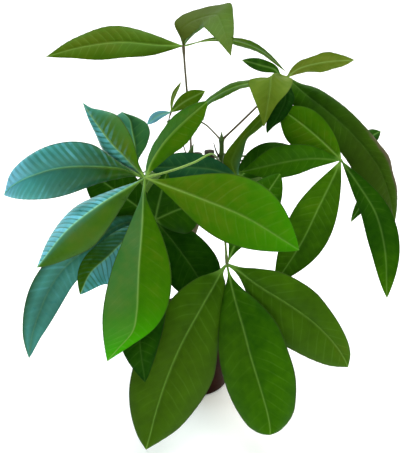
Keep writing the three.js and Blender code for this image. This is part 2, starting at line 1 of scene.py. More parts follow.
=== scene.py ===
"""A small potted money tree: leaves, shoots, braided bark, soil and pot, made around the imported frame.

Outlines, paths and sizes follow the same named values as the solids; veins, ripples, bark, crumbs and
finishes are added here. Shapes are worked out in millimetres, +Z up, with the origin under the pot and
+Y away from the viewer, and are made in metres.
"""

import math
from types import SimpleNamespace as Sizes

import bpy
import numpy as np
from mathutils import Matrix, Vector, noise


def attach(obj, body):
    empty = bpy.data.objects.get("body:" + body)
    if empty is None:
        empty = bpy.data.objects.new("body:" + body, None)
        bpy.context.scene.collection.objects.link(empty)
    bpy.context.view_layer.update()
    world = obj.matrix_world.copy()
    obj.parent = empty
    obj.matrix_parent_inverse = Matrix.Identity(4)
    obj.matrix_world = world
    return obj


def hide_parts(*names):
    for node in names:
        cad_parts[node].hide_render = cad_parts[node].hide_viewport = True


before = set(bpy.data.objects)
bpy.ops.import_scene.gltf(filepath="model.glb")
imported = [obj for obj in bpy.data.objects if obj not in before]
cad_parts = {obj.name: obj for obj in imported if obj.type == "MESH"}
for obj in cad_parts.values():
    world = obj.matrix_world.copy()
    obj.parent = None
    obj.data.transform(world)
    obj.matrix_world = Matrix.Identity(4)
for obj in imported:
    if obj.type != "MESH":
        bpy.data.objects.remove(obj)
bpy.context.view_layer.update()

# Driving dimensions, in millimetres and degrees
POT = Sizes(
    height=95, top_radius=56, base_radius=44.5, wall=2.6, floor=4,
    rim_height=13, rim_out=2.4, edge=1.2, middle=0.5, sides=120,
)
SOIL = Sizes(
    level=84, crown=3, lump=1.6, clearance=0.5, above_floor=0.3, shoulder=0.6, rings=62, sides=110,
)
STEM = Sizes(
    base_radius=7.2, top_radius=5.5, knob=0.5, knob_from=(0.93, 0.97), top_edge=1.2, foot=26,
    dry_from=18, dry_at=5, rings=190, sides=30,
)
SCARS = Sizes(
    spacing=12, spread=5, height=0.3, reach=1.1, dip=0.16, dip_above=2.6, dip_reach=1.2, clear_top=6,
)
SPUR = Sizes(
    stem="stem_right", foot_radius=1.5, tip_radius=0.5,
    marks=[(221, 160, -2), (216.5, 152, -3), (213.5, 142.5, -3)], rings=14, sides=10,
)
PLAIT = Sizes(
    width=1.93, depth=1.65, turn=162, start_angle=30, crossing_height=205, free_from=274, free_end=8,
)
SHOOT = Sizes(
    base_radius=3.1, top_radius=2.7, bud_length=9, bud_slim=0.82, end=0.4, ring=0.45, ring_reach=1.6,
    rings=46, sides=18,
)
# foot and hub are the shares of a leaf stalk where its lower swelling ends and its upper one begins
PETIOLE = Sizes(
    radius=1.25, swollen=1.9, foot=0.12, hub=(0.88, 0.95), past_hub=1.6, end=0.6, step=2.2, sides=12,
)
BLADE = Sizes(
    thickness=0.55, stalk=1.1, tip=0.4, stalk_depth=2, stalk_share=0.14,
    fold=12, cup=0.2, edged_cup=0.14,
    wave=1.2, edged_wave=0.3, waves=2.4, wave_offset=1.4,
    vein_spacing=9.5, vein_slant=0.5, vein_bend=0.3, quilting=0.45, flat_by_rib=3, flat_by_edge=5,
    frill=0.2, full_relief=14, relief_from=(0.05, 0.16),
    groove=0.2, groove_reach=1.3, rib=0.8, rib_reach=0.9, pale_rib=1.1, pale_tip=0.7,
)
# Lumps of the bark and of the soil, as (height, size, seed of the noise)
BARK_LUMPS = [(0.34, 5.5, 3), (0.2, 2.1, 7)]
SOIL_LUMPS = [(0.9, 5, 21), (0.7, 2.2, 23), (0.3, 1.1, 25)]
# How close the points of a blade's mesh stand, along it and across it
GRID = Sizes(
    along=1.7, fewest_rows=30, fewest_edged_rows=60, most_rows=110, to_tip=1.15,
    across=1.9, fewest_columns=6, most_columns=17, to_edge=1.5,
)

# The viewer that the visible leaves were placed by, as in the solids
EYE = np.array([9.5, -600.0, 412.0])
PITCH = math.radians(18.1)
FOCAL = 510
PICTURE = (402, 453)
MM = 0.001


def at(x, y, z):
    return np.array([x, y, z], float)


def seen(px, py, depth):
    """The point that shows at pixel (px, py) and lies in the plane y = depth."""
    right = px - PICTURE[0] / 2
    rise = PICTURE[1] / 2 - py
    ray = at(
        right,
        FOCAL * math.cos(PITCH) + rise * math.sin(PITCH),
        rise * math.cos(PITCH) - FOCAL * math.sin(PITCH),
    )
    return EYE + ray * (depth - EYE[1]) / ray[1]


def placed(spot):
    """A place given as at(x, y, z) or as (pixel x, pixel y, depth)."""
    return spot if isinstance(spot, np.ndarray) else seen(*spot)


def mix(a, b, share):
    return a + (b - a) * share


def smooth(low, high, value):
    """A soft step from 0 at low to 1 at high."""
    share = np.clip((value - low) / (high - low), 0, 1)
    return share * share * (3 - 2 * share)


def ridge(distance, reach):
    """1 at no distance, falling softly to nothing within about twice the reach."""
    return np.exp(-((distance / reach) ** 2))


def unit(v):
    return v / np.linalg.norm(v, axis=-1, keepdims=True)


def turned(v, axis, degrees):
    """v turned about a unit axis."""
    angle = math.radians(degrees)
    kept = axis * np.dot(axis, v)
    return v * math.cos(angle) + np.cross(axis, v) * math.sin(angle) + kept * (1 - math.cos(angle))


# Curves


def catmull_rom(points, per_span=24):
    """Samples of the centripetal Catmull-Rom curve through the points."""
    p = np.array(points, float)
    p = np.vstack([2 * p[0] - p[1], p, 2 * p[-1] - p[-2]])
    samples = []
    for p0, p1, p2, p3 in zip(p, p[1:], p[2:], p[3:]):
        d0, d1, d2 = (math.sqrt(np.linalg.norm(b - a)) for a, b in ((p0, p1), (p1, p2), (p2, p3)))
        leave = ((p1 - p0) / d0 - (p2 - p0) / (d0 + d1) + (p2 - p1) / d1) * d1
        arrive = ((p2 - p1) / d1 - (p3 - p1) / (d1 + d2) + (p3 - p2) / d2) * d1
        square = 3 * (p2 - p1) - 2 * leave - arrive
        cube = 2 * (p1 - p2) + leave + arrive
        t = np.linspace(0, 1, per_span, endpoint=False)[:, None]
        samples.append(p1 + leave * t + square * t**2 + cube * t**3)
    return np.vstack([*samples, p[-2]])


def bezier(start, middle, end, t):
    return (1 - t) ** 2 * start + 2 * t * (1 - t) * middle + t**2 * end


class Path:
    """A line through samples, read by share of its length."""

    def __init__(self, samples):
        self.samples = np.array(samples)
        steps = np.linalg.norm(np.diff(self.samples, axis=0), axis=1)
        self.reach = np.concatenate([[0], np.cumsum(steps)])
        self.length = self.reach[-1]

    def at(self, s):
        reach = np.atleast_1d(s) * self.length
        return np.stack([np.interp(reach, self.reach, axis) for axis in self.samples.T], axis=1)

    def tangent(self, s, step=0.012):
        s = np.atleast_1d(s)
        return unit(self.at(np.minimum(s + step, 1)) - self.at(np.maximum(s - step, 0)))


# Pieces are gathered as points and faces, with a material index for each face and looks for each point.
# tone goes from the darkest green to pale olive. The second look is the share of bright yellow-green,
# painted light where a blade is lit, olive that of dull olive brown, and rib marks the pale main veins. cool
# is the share of a painted reflection of cool blue light on the skin, gleam that of painted highlights in
# pale stripes between the side veins, and dry that of withered brown.
LOOKS = ("tone", "fresh", "olive", "rib", "cool", "gleam", "dry")


def scene_object(name, data):
    """A new object, put into the scene."""
    obj = bpy.data.objects.new(name, data)
    bpy.context.scene.collection.objects.link(obj)
    return obj


class Piece:
    """Points and faces of one visible piece. veins holds the coordinates of a leaf's vein pattern."""

    def __init__(self):
        self.points = []
        self.faces = []
        self.slots = []
        self.veins = []
        self.looks = {look: [] for look in LOOKS}
        self.count = 0

    def add(self, points, faces, slots, veins=None, **looks):
        """Adds faces in one material, or in one for each face."""
        points = np.asarray(points).reshape(-1, 3)
        total = len(points)
        self.points.append(points)
        self.faces += [tuple(int(i) + self.count for i in face) for face in faces]
        self.slots += [slots] * len(faces) if isinstance(slots, int) else list(slots)
        self.veins.append(np.zeros((total, 2)) if veins is None else np.asarray(veins).reshape(-1, 2))
        for look in LOOKS:
            self.looks[look].append(np.broadcast_to(np.ravel(looks.get(look, 0.0)), total))
        self.count += total

    def made(self, name, materials, nodes, slot, sharp=50):
        """The Blender object, which stands for its CAD nodes."""
        mesh = bpy.data.meshes.new(name)
        mesh.from_pydata((np.vstack(self.points) * MM).tolist(), [], self.faces)
        mesh.polygons.foreach_set("material_index", self.slots)
        mesh.polygons.foreach_set("use_smooth", [True] * len(self.faces))
        corners = np.empty(len(mesh.loops), dtype=np.int32)
        mesh.loops.foreach_get("vertex_index", corners)
        layer = mesh.uv_layers.new(name="Veins")
        layer.data.foreach_set("uv", np.vstack(self.veins)[corners].astype(np.float32).ravel())
        for look, values in self.looks.items():
            attribute = mesh.attributes.new(look, "FLOAT", "POINT")
            attribute.data.foreach_set("value", np.concatenate(values).astype(np.float32))
        for material in materials:
            mesh.materials.append(material)
        mesh.set_sharp_from_angle(angle=math.radians(sharp))
        mesh.update()
        obj = scene_object(name, mesh)
        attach(obj, "root")
        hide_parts(*nodes)


def ring_faces(rings, sides):
    """Faces that join rings of points one after another, with a cap over each end."""
    here = np.arange(rings * sides).reshape(rings, sides)
    beside = np.roll(here, -1, axis=1)
    quads = np.stack([here[:-1], beside[:-1], beside[1:], here[1:]], axis=2).reshape(-1, 4)
    return [*quads, here[0, ::-1], here[-1]]


def level_ring(radius, height, sides):
    """Points of a level ring round the pot's axis."""
    angle = 2 * np.pi * np.arange(sides) / sides
    return np.stack([radius * np.cos(angle), radius * np.sin(angle), height + 0 * angle], axis=1)


def outward_rings(path, s, sides):
    """For each s, directions all round the path and square to it, carried along it without twisting."""
    tangents = path.tangent(s)
    guide = at(1, 0, 0) if abs(tangents[0][0]) < 0.8 else at(0, 1, 0)
    carried = []
    for tangent in tangents:
        guide = unit(guide - tangent * np.dot(guide, tangent))
        carried.append(guide)
    other = np.cross(tangents, carried)
    angle = 2 * np.pi * np.arange(sides) / sides
    return np.array(carried)[:, None] * np.cos(angle)[:, None] + other[:, None] * np.sin(angle)[:, None]


def rod(piece, path, radii, sides, slot, tone=0.5):
    """Adds a round rod along the path, with a radius for each station."""
    s = np.linspace(0, 1, len(radii))
    points = path.at(s)[:, None] + radii[:, None, None] * outward_rings(path, s, sides)
    if np.ndim(tone):
        tone = np.repeat(tone, sides)
    piece.add(points, ring_faces(len(s), sides), slot, tone=tone)


LEAVES = []


def stalk(name, **values):
    """A new leaf, with its stalk."""
    LEAVES.append(dict(name=name, leaflets=[], **values))


def blade(**values):
    """One more leaflet of the newest leaf."""
    LEAVES[-1]["leaflets"].append(values)


# A leaf's stalk begins on a shoot, at the share start of its length, passes the places in petiole and
# ends in the hub, where the leaflets begin. A place is at(x, y, z) or (pixel x, pixel y, depth), the depth
# in millimetres behind the pot's middle. Pixels on the way to a tip take their depth evenly.
#
# A leaflet with left and right has matching marks down its edges, and along its midrib if it has along.
# lean sets its left edge back and its right edge forward, and sunk lowers its midrib. Any other leaflet
# has a greatest width. along lists pixels that its midrib passes, or lift bows it upwards. turn faces the
# blade away from the viewer and roll from upright, and fold closes its halves, all in degrees. skew moves
# the midrib aside, widest is where the blade is broadest, and base and point make its ends slimmer. cup
# hollows the halves of either kind.
#
# A look is a number, stops spaced evenly from stalk to tip, or a pair of such stops for the left and the
# right half. cool_across and gleam_across scale two looks from midrib to edge. marked scales the pale main
# vein, quilting is the relief between side veins in millimetres, and spacing the distance between them.
# Many leaflets' tone stops, and the unequal stops of some leaflets' two halves, follow how brightly each
# part is lit: they paint light and shade into the green.

stalk(
    "leaf_front_left", shoot="right", start=0.46, stalk_tone=0.9,
    petiole=[(212, 154, -30), (194, 162.5, -60), (172, 170.5, -84)], hub=(145, 178, -100),
)
blade(
    tip=(83, 103, -66), lean=4, sunk=-0.08,
    along=[(137, 168), (126, 156), (113, 143), (101, 127.5), (92, 115.5), (86.5, 107.5)],
    left=[(134, 171.5), (117, 163.5), (103, 150.5), (95, 133.5), (88.5, 118.5), (85.5, 108.5)],
    right=[(139, 165.5), (136, 152), (130, 133.5), (117, 115.5), (103, 110.2), (91.5, 107.8)],
    tone=((0.3, 0.3), (0.55, 0.65, 0.6)), cool=((0, 0.6, 0.85, 1.1), (0, 0, 0.1, 0.8)),
    gleam=((0, 0.5, 0.8, 0.5), (0, 0.3, 0.7, 0.5)), gleam_across=((1, 1), (1, 1, 0.3, 0, 0)), quilting=1.0,
    spacing=7, marked=1.5, glossy=True,
)
blade(
    tip=(122, 112, -50),
    left=[(139.5, 170.5), (133, 160), (124, 146), (115, 130), (114.5, 118)],
    right=[(141.5, 169), (138.5, 160.5), (146.5, 146), (150, 132), (146, 122.5)],
    tone=(0.35, 0.25), cool=((0.1, 0.3), (0.05, 0.1)),
)
blade(
    tip=(4, 195, -66),
    along=[(124, 169.2), (110, 167.5), (96, 166.8), (83, 166.5), (69, 167), (54, 169), (40, 173), (24, 179),
        (11, 187)],
    left=[(133, 176.5), (116, 179.5), (99, 183.5), (85, 188.5), (70, 194), (55, 198), (40, 199.7),
        (22, 199.5), (10, 197.5)],
    right=[(122, 164), (109, 155), (95, 145.5), (82, 142), (68, 141.5), (52, 144.5), (38, 150), (22, 160.5),
        (10, 174)],
    tone=(0.33, 0.3), cool=((0, 0, 0.4, 1.0, 1.7), (0, 0.1, 0.6, 1.3, 1.9)),
    gleam=((0, 0.1, 0.3, 0.4), (0, 0.4, 0.6, 0.7)), gleam_across=((0, 1, 1), (0.2, 1, 0.8)), quilting=0.9,
    spacing=8, marked=1.6, glossy=True,
)
blade(
    tip=(37, 267.5, -132), along=[(120, 192), (96, 207), (66, 231)], width=58, turn=28, fold=-35, cup=0.05,
    tone=((0.45, 0.58, 0.62, 0.45), (0.3, 0.3)), cool=((0.1, 0.4, 0.5), (0.3, 1.1, 1.3, 1.2)),
    cool_across=((1, 0.1, 0, 0, 0.1), (1, 1)), olive=((0, 0.1, 0.12, 0), (0, 0)),
    gleam=((0, 0), (0.2, 1, 1.2, 0.9)), quilting=1.1, spacing=6, marked=1.4, glossy=True,
)
blade(
    tip=(107.4, 361, -165), cup=0.03, lean=-5,
    along=[(143.5, 198), (142.5, 221), (141, 242), (139, 266), (138, 290), (137, 311), (133, 331),
        (118, 349)],
    left=[(146.5, 198), (156, 221), (164, 241), (170.5, 266), (171, 290), (166, 311), (154, 329),
        (130, 346.5)],
    right=[(140.5, 198), (131, 221), (122, 242), (112.5, 267), (105.5, 294), (102.3, 317), (103, 336),
        (105, 350)],
    tone=((0.6, 0.6, 0.6), (0.7, 0.7, 0.7)), fresh=((0, 0, 0.3, 1), (-0.3, 0, 0.2, 1)),
    cool=((0, 0), (0.15, 0.1, 0)),
)
blade(
    tip=(299, 250, -165), along=[(173, 188), (202, 199), (247, 218)], width=66, skew=-0.08, turn=0,
    tone=((0.76, 0.66, 0.6), (0.72, 0.66, 0.6)), fresh=(0, 0.15, 0.5), olive=((0.1, 0, 0), (0.05, 0)),
    marked=(0.9, 0.6), spacing=11,
)
blade(
    tip=(207, 101.5, -60), along=[(150.5, 163), (164, 142), (181, 124)], width=36, skew=0.12, turn=32,
    fold=26, base=0.9, point=0.7, tone=(0.65, 0.6), cool=((0.12, 0), (0, 0)), marked=1.3,
)

stalk(
    "leaf_front_low", shoot="right", start=0.2, stalk_tone=0.55, petiole=[(222, 195, -45), (225, 238, -84)],
    hub=(227, 264, -95),
)
blade(
    tip=(146, 449.5, -165),
    along=[(221, 273), (214, 286), (205, 301), (196, 317), (187, 333), (178, 351), (170, 370), (162, 392),
        (155, 415), (150, 435)],
    left=[(223.5, 273), (225.5, 284), (223, 309), (221, 330), (218, 350), (214, 376), (206, 394),
        (195, 410), (178, 429), (160, 441.5)],
    right=[(217.5, 270.5), (198, 277.5), (180, 290), (165, 307), (150, 330), (139, 351), (132, 371),
        (129, 392), (131, 415), (137.5, 436)],
    tone=(0.35, 0.46, 0.54), olive=(0.1, 0.35, 0.3), spacing=12,
)
blade(
    tip=(270, 435, -165),
    along=[(229.3, 275), (231.5, 286), (237, 307), (244, 331), (250, 354), (257, 377), (263, 397),
        (267, 411), (269.5, 423), (270.3, 431)],
    left=[(231, 275), (241, 287), (262, 305), (278, 325), (288, 350), (295.5, 376), (296, 397),
        (293.5, 413), (286.5, 424.5), (278, 432)],
    right=[(227.5, 276), (225, 287), (220, 310), (218, 335), (219, 357), (223, 377), (230, 397), (239, 414),
        (249.5, 427.5), (261, 434)],
    tone=(0.3, 0.4, 0.5), fresh=(0, 0.1), olive=((0, 0), (0, 0.15, 0)), spacing=12,
)
blade(
    tip=(348, 367, -122),
    along=[(238, 270.5), (250, 280), (265, 290), (281, 299.5), (297, 310), (312, 321), (326, 334),
        (337, 347), (344, 358)],
    left=[(241, 267), (259, 268.5), (280, 272), (299, 280.5), (316, 292.5), (330, 309.5), (341, 326.5),
        (348.5, 343), (350.5, 355)],
    right=[(236, 273), (243, 285), (251, 306), (263, 326), (277, 341), (294, 351), (312, 360), (328, 365.5),
        (339, 367)],
    tone=(0.35, 0.48, 0.56), olive=(0.1, 0.25, 0.3), spacing=12,
)
blade(tip=(280, 174, -62), along=[(236, 243), (258, 207)], width=44, turn=0, point=0.7, tone=(0.3, 0.35))

stalk(
    "leaf_right", shoot="right", start=0.66, petiole=[(245, 156, 8), (275, 151, 16), (308, 150, 6)],
    hub=(341, 160, -20),
)
blade(
    tip=(240, 172, -34), along=[(305, 159)], width=41, skew=0.1, turn=-18, fold=20, base=1, point=1.2,
    tone=0.42, fresh=(0.2, 0), marked=0.6,
)
blade(
    tip=(275, 284, -66), along=[(334, 176), (317.5, 210), (302.5, 241)], width=52, turn=0, widest=0.54,
    base=1, tone=((0.46, 0.28), (0.6, 0.34)), olive=0.12, marked=0.7,
)
blade(
    tip=(387, 298, -60), along=[(360, 187), (376, 214), (385, 250)], width=36, turn=10, widest=0.55, base=1,
    tone=(0.2, 0.25, 0.55), marked=0.7,
)
blade(tip=(279, 108, 2), width=47, skew=-0.12, turn=0, lift=3, base=0.8, tone=0.6)

stalk(
    "leaf_upper_right", shoot="right", start=0.97, stalk_tone=0.15,
    petiole=[(241, 122, 2), (259, 104.5, 8)], hub=(287, 77, 12),
)
blade(tip=(354, 60, -14), along=[(299, 68.5), (325, 62)], width=28, turn=44, base=0.8, tone=0.95)
blade(
    tip=(203, 121, 24), along=[(265, 81.5), (240, 85.5), (219, 94.5), (206, 104.5)], width=21, turn=62,
    base=0.8, tone=0.5, olive=0.25,
)
blade(
    tip=(242, 60, 62), along=[(280, 75), (275, 69.5), (262, 65.5)], width=15, turn=-10, base=1.5, tone=0.35,
)
blade(
    tip=(263.8, 126.5, -54), sunk=0.12,
    left=[(268, 77.5, -6), (248.5, 80.5, -30), (251.5, 93, -42), (257.5, 108, -50)],
    right=[(290, 77.5, 0), (293, 82, -22), (287.5, 92.5, -40), (276.5, 105, -48)],
    tone=0.8, marked=0.4,
)
blade(
    tip=(394, 226, 16), lean=6,
    along=[(297, 87), (311, 98.5), (326, 110), (341, 123), (355, 137), (367, 151), (377, 165), (384, 179.5),
        (389, 195), (392.5, 211)],
    left=[(300, 83), (316, 87.5), (330, 95.5), (347, 108.5), (365, 126.5), (379, 143), (389.5, 157),
        (393, 172), (397, 188), (397, 208)],
    right=[(289.5, 92), (294.5, 108), (309, 124), (326, 139), (340, 152), (349.5, 165), (356, 176.5),
        (364, 188), (375, 200), (386, 213)],
    tone=((0.1, 0.3, 0.35), (0.3, 0.2, 0.25)), olive=(0, 0.3, 0.4), marked=0.35,
    dry=((0, 0, 0.3, 1, 1, 0.4), (0, 0, 0)),
)
blade(
    tip=(267, 133, -24), cup=0.05,
    along=[(286, 89), (285.5, 100), (281.5, 110), (276, 120), (270.5, 128)],
    left=[(290.5, 86), (294.5, 98), (291, 109), (283, 120), (274, 126.5)],
    right=[(282, 90), (276.5, 99), (271, 108), (267.5, 118), (266, 127)],
    tone=-0.15, marked=0.2,
)

stalk(
    "leaf_top", shoot="left", start=0.96, stalk_tone=0.2,
    petiole=[(190.5, 133, 18), (187, 92, 27), (184.8, 66, 24)], hub=(183.4, 46, 20),
)
blade(
    tip=(46, 56.8, 8), along=[(160, 45.2), (120, 42.3), (80, 47.5)], width=41, turn=30, widest=0.5, base=1,
    point=1, tone=((0.45, 0.62, 0.72), (0.55, 0.66, 0.72)), olive=((0.4, 0.4, 0.3), (0.5, 0.4, 0.3)),
    marked=0.6,
)
blade(
    tip=(230.8, 55.5, -16), cup=0,
    left=[(180.5, 38, 24), (174.3, 23, 32), (182, 15, 38), (200, 8.6, 42), (222, 4.3, 40), (230.8, 3.2, 36),
        (233.5, 16, 24), (234, 32, 8)],
    right=[(185, 40, 18), (189, 37, 18), (193.5, 32.5, 19), (199, 28, 20), (202, 26, 18), (203.5, 27, 15),
        (210, 33, 4), (218, 41, -6)],
    tone=(0.4, 0.4, 0.4, 0.6, 0.65, 0.6), olive=(0.8, 0.8, 0.7, 0.5, 0.5, 0.7), marked=0, quilting=0.1,
)
blade(
    tip=(285, 71, -8), along=[(213, 39.5), (242, 42.5), (264, 52.5)], width=18, turn=62, base=2, tone=0.7,
    olive=0.3,
)
blade(tip=(224, 14, 105), along=[(196, 26, 55)], width=34, roll=0, tone=0.6)

stalk(
    "leaf_small_top", shoot="left", start=0.72, stalk_radius=0.8, stalk_tone=0.3,
    petiole=[(182, 142, 16), (169, 122, 26)], hub=(171, 112, 30),
)
blade(tip=(181, 82, 34), along=[(173, 97)], width=8, turn=50, base=0.8, tone=0.9)
blade(tip=(147, 124.5, 26), along=[(158, 115.5)], width=11, turn=0, base=0.9, tone=0.5, cool=2)
blade(tip=(205, 91, 8), along=[(184, 102)], width=18, turn=0, base=0.8, tone=0.7)

stalk(
    "leaf_small_back", shoot="right", start=0.97, stalk_radius=1, stalk_tone=0.2, petiole=[(203, 123, 14)],
    hub=(184, 121, 40),
)
blade(tip=at(-27, 92, 322), width=15, lift=4, tone=0.5)
blade(tip=at(-5, 88, 320), width=14, lift=4, tone=0.5)
blade(tip=at(-34, 70, 334), width=14, lift=4, tone=0.5)

stalk(
    "leaf_left_low", shoot="left", start=0.34, petiole=[at(-23, -1, 284), at(-36, -20, 266)],
    hub=(155, 220, -44),
)
blade(
    tip=(214, 304, -66), along=[(175, 244), (193, 269)], width=63, turn=0, base=0.62, tone=0.12, marked=0.4,
)
blade(
    tip=(145, 382, -158), along=[(147, 262, -90), (140, 338, -144)], width=52, turn=0, tone=0.12,
    marked=0.3,
)
blade(
    tip=(80, 294.5, -96), along=[(128, 237), (108, 256), (90, 273)], width=48, skew=-0.22, turn=-10,
    fold=16, base=1.1, tone=(0.3, 0.42, 0.5), cool=((0.3, 1.3, 1.4, 0.8), (0.3, 0.25, 0, 0)),
    gleam=((0.4, 1, 1, 0.5), (0.9, 0.35, 0)), quilting=1.1, spacing=6, marked=1.4, glossy=True,
)
blade(
    tip=(29, 358, -84), along=[(122, 224), (94, 243), (57, 277), (33.5, 330)], width=43, turn=-14, base=0.8,
    tone=0.2, cool=((0, 0.6, 0.8, 0.6), (0, 0.5, 0.75, 0.6)), cool_across=((0.5, 1, 0.8), (0.6, 1, 0.1)),
    gleam=(0, 0.2, 0.1, 0), quilting=0.7, marked=0.3, glossy=True,
)
blade(tip=(167, 172, -60), along=[(160, 198)], width=32, turn=0, widest=0.35, base=0.7, tone=0.25)
blade(tip=(207, 201, -66), along=[(180, 209)], width=58, turn=0, widest=0.5, base=0.8, point=1.1, tone=0.3)
blade(tip=(84, 168, -26), along=[(126, 198)], width=56, turn=0, base=0.8, tone=0.15)

stalk(
    "leaf_middle", shoot="right", start=0.33, stalk_radius=1.0, petiole=[(231, 172, -16)],
    hub=(238, 178, -26),
)
blade(
    tip=(271, 101, -18),
    left=[(230, 171.5), (223, 162), (226, 152.5), (235, 140.5), (248, 125.5), (259.5, 113.5), (266.5, 106)],
    right=[(238.5, 170.5), (240.5, 162), (243.5, 152.5), (247.5, 139), (257, 131), (265, 123),
        (269.5, 112)],
    tone=(0.5, 0.7, 0.75), olive=(0.5, 0.4, 0), cool=((0, 0), (0.3, 0.1, 0)), cool_across=(0, 0.3, 1),
    marked=0.3,
)
blade(tip=(147, 167, -44), along=[(210, 169)], width=34, turn=0, base=0.8, tone=0.15, cool=0.08, marked=0.4)
blade(tip=(300, 150, 0), along=[(262, 160, -12)], width=36, turn=0, widest=0.5, base=0.6, tone=0.2)

stalk(
    "leaf_right_back", shoot="back", start=0.8, stalk_tone=0.3, petiole=[(245, 160, 30), (300, 146, 38)],
    hub=(356, 152, 48),
)
blade(tip=(380.5, 131.5, 78), width=20, turn=0, lift=4, tone=0.2)
blade(tip=(351, 222, 40), along=[(370, 184)], width=20, turn=30, tone=0.3)
blade(tip=at(225, 130, 295), width=36, lift=5, tone=0.3)
blade(tip=at(150, 140, 290), width=38, lift=6, tone=0.34)

stalk(
    "leaf_left_back", shoot="left", start=0.6, stalk_tone=0.3, petiole=[at(-20, 50, 290)],
    hub=at(-35, 85, 275),
)
blade(tip=at(-140, 120, 200), width=44, lift=14, tone=0.36)
blade(tip=at(-90, 170, 190), width=45, lift=14, tone=0.4)
blade(tip=at(-30, 190, 200), width=45, lift=12, tone=0.44)
blade(tip=at(40, 170, 210), width=42, lift=10, tone=0.4)

stalk(
    "leaf_back", shoot="back", start=0.95, stalk_tone=0.3, petiole=[at(40, 60, 292)], hub=at(72, 84, 272),
)
blade(tip=at(115, 165, 210), width=44, lift=12, tone=0.4)
blade(tip=at(64, 195, 192), width=45, lift=12, tone=0.42)
blade(tip=at(120, 110, 288), width=30, lift=4, tone=0.46)


# The materials of a leaf, and what its under side keeps of some looks: a quarter of the painted cool
# reflection and none of the painted highlights
UPPER, UNDER, STALK, GLOSSY = range(4)
KEPT_BELOW = dict(cool=0.25, gleam=0)


def outline_at(s, widest=0.6, base=1.5, point=0.85):
    """Share of a leaflet's greatest half width, at s from stalk (0) to tip (1)."""
    rise = np.sin(np.pi / 2 * np.clip(s / widest, 0, 1)) ** base
    fall = np.sin(np.pi / 2 * np.clip((1 - s) / (1 - widest), 0, 1)) ** point
    return np.where(s < widest, rise, fall)


def passed(start, along, end, shift=0):
    """Points that a line passes from start to end, its depth changing evenly in the picture."""
    marks = [start, *along, end]
    steps = [math.dist(a[:2], b[:2]) for a, b in zip(marks, marks[1:])]
    points = []
    for i, mark in enumerate(along):
        depth = mark[2] if len(mark) > 2 else mix(start[2], end[2], sum(steps[: i + 1]) / sum(steps))
        points.append(seen(mark[0], mark[1], depth + shift))
    return points


def midrib_of(hub, leaflet):
    """The midrib's path, its chord and the direction that is square to the chord and most upright."""
    start = placed(hub)
    end = placed(leaflet["tip"])
    chord = unit(end - start)
    rise = unit(np.cross(unit(np.cross(chord, at(0, 0, 1))), chord))
    if "along" in leaflet:
        samples = catmull_rom([start, *passed(hub, leaflet["along"], leaflet["tip"]), end])
    else:
        middle = (start + end) / 2 + rise * 2 * leaflet.get("lift", 0)
        samples = bezier(start, middle, end, np.linspace(0, 1, 49)[:, None])
    return Path(samples), chord, rise


def facing(path, chord, rise, leaflet):
    """Direction that a blade's upper face looks: turned from the viewer, or rolled from upright."""
    viewed = "turn" in leaflet
    towards = EYE - path.samples[len(path.samples) // 2] if viewed else rise
    face = unit(towards - chord * np.dot(towards, chord))
    return turned(face, chord, leaflet["turn"] if viewed else leaflet.get("roll", 0))


def stations(length, fewest):
    """Shares of length from stalk to tip, closer together at the tip."""
    count = int(np.clip(length / GRID.along, fewest, GRID.most_rows))
    return 1 - (1 - np.linspace(0, 1, count)) ** GRID.to_tip


def plain_strip(hub, leaflet):
    """A blade's stations, left edge, midrib, right edge and normals, and the length of its midrib."""
    path, chord, rise = midrib_of(hub, leaflet)
    face = facing(path, chord, rise, leaflet)
    s = stations(path.length, GRID.fewest_rows)
    tangent = path.tangent(s)
    normal = unit(face - tangent * (tangent @ face)[:, None])
    sideways = np.cross(tangent, normal)
    shape = {key: leaflet[key] for key in ("widest", "base", "point") if key in leaflet}
    least = mix(BLADE.stalk, BLADE.tip, smooth(0.5, 1, s))
    half = np.maximum(leaflet["width"] / 2 * outline_at(s, **shape), least)[:, None]
    fold = math.radians(leaflet.get("fold", BLADE.fold))
    lifted = path.at(s) + normal * half * (math.sin(fold) - leaflet.get("cup", BLADE.cup))
    skew = leaflet.get("skew", 0)
    left = lifted - sideways * half * (1 - skew) * math.cos(fold)
    right = lifted + sideways * half * (1 + skew) * math.cos(fold)
    return s, left, path.at(s), right, normal, path.length


def edged_strip(hub, leaflet):
    """The same for a blade given by matching marks along its edges and midrib."""
    tip = leaflet["tip"]
    lean = leaflet.get("lean", 0)
    left = passed(hub, leaflet["left"], tip, lean)
    right = passed(hub, leaflet["right"], tip, -lean)
    rib = passed(hub, leaflet["along"], tip) if "along" in leaflet else (np.array(left) + right) / 2
    at_hub = unit(right[0] - left[0]) * BLADE.stalk
    at_tip = unit(right[-1] - left[-1]) * BLADE.tip
    start, end = placed(hub), placed(tip)
    left = catmull_rom([start - at_hub, *left, end - at_tip])
    right = catmull_rom([start + at_hub, *right, end + at_tip])
    path = Path(catmull_rom([start, *rib, end]))
    s = stations(path.length, GRID.fewest_edged_rows)
    share = path.reach / path.length
    left, right = (np.stack([np.interp(s, share, axis) for axis in line.T], 1) for line in (left, right))
    normal = unit(np.cross(right - left, path.tangent(s, 0.03)))
    return s, left, path.at(s), right, normal, path.length


def spread(look, place, v):
    """A look at places from 0 to 1: a number, evenly spaced stops, or stops for the left and right half."""
    sides = look if isinstance(look, tuple) and isinstance(look[0], tuple) else (look, look)
    left, right = (np.interp(place, np.linspace(0, 1, np.size(side)), np.atleast_1d(side)) for side in sides)
    return np.where(v < 0, left, right)


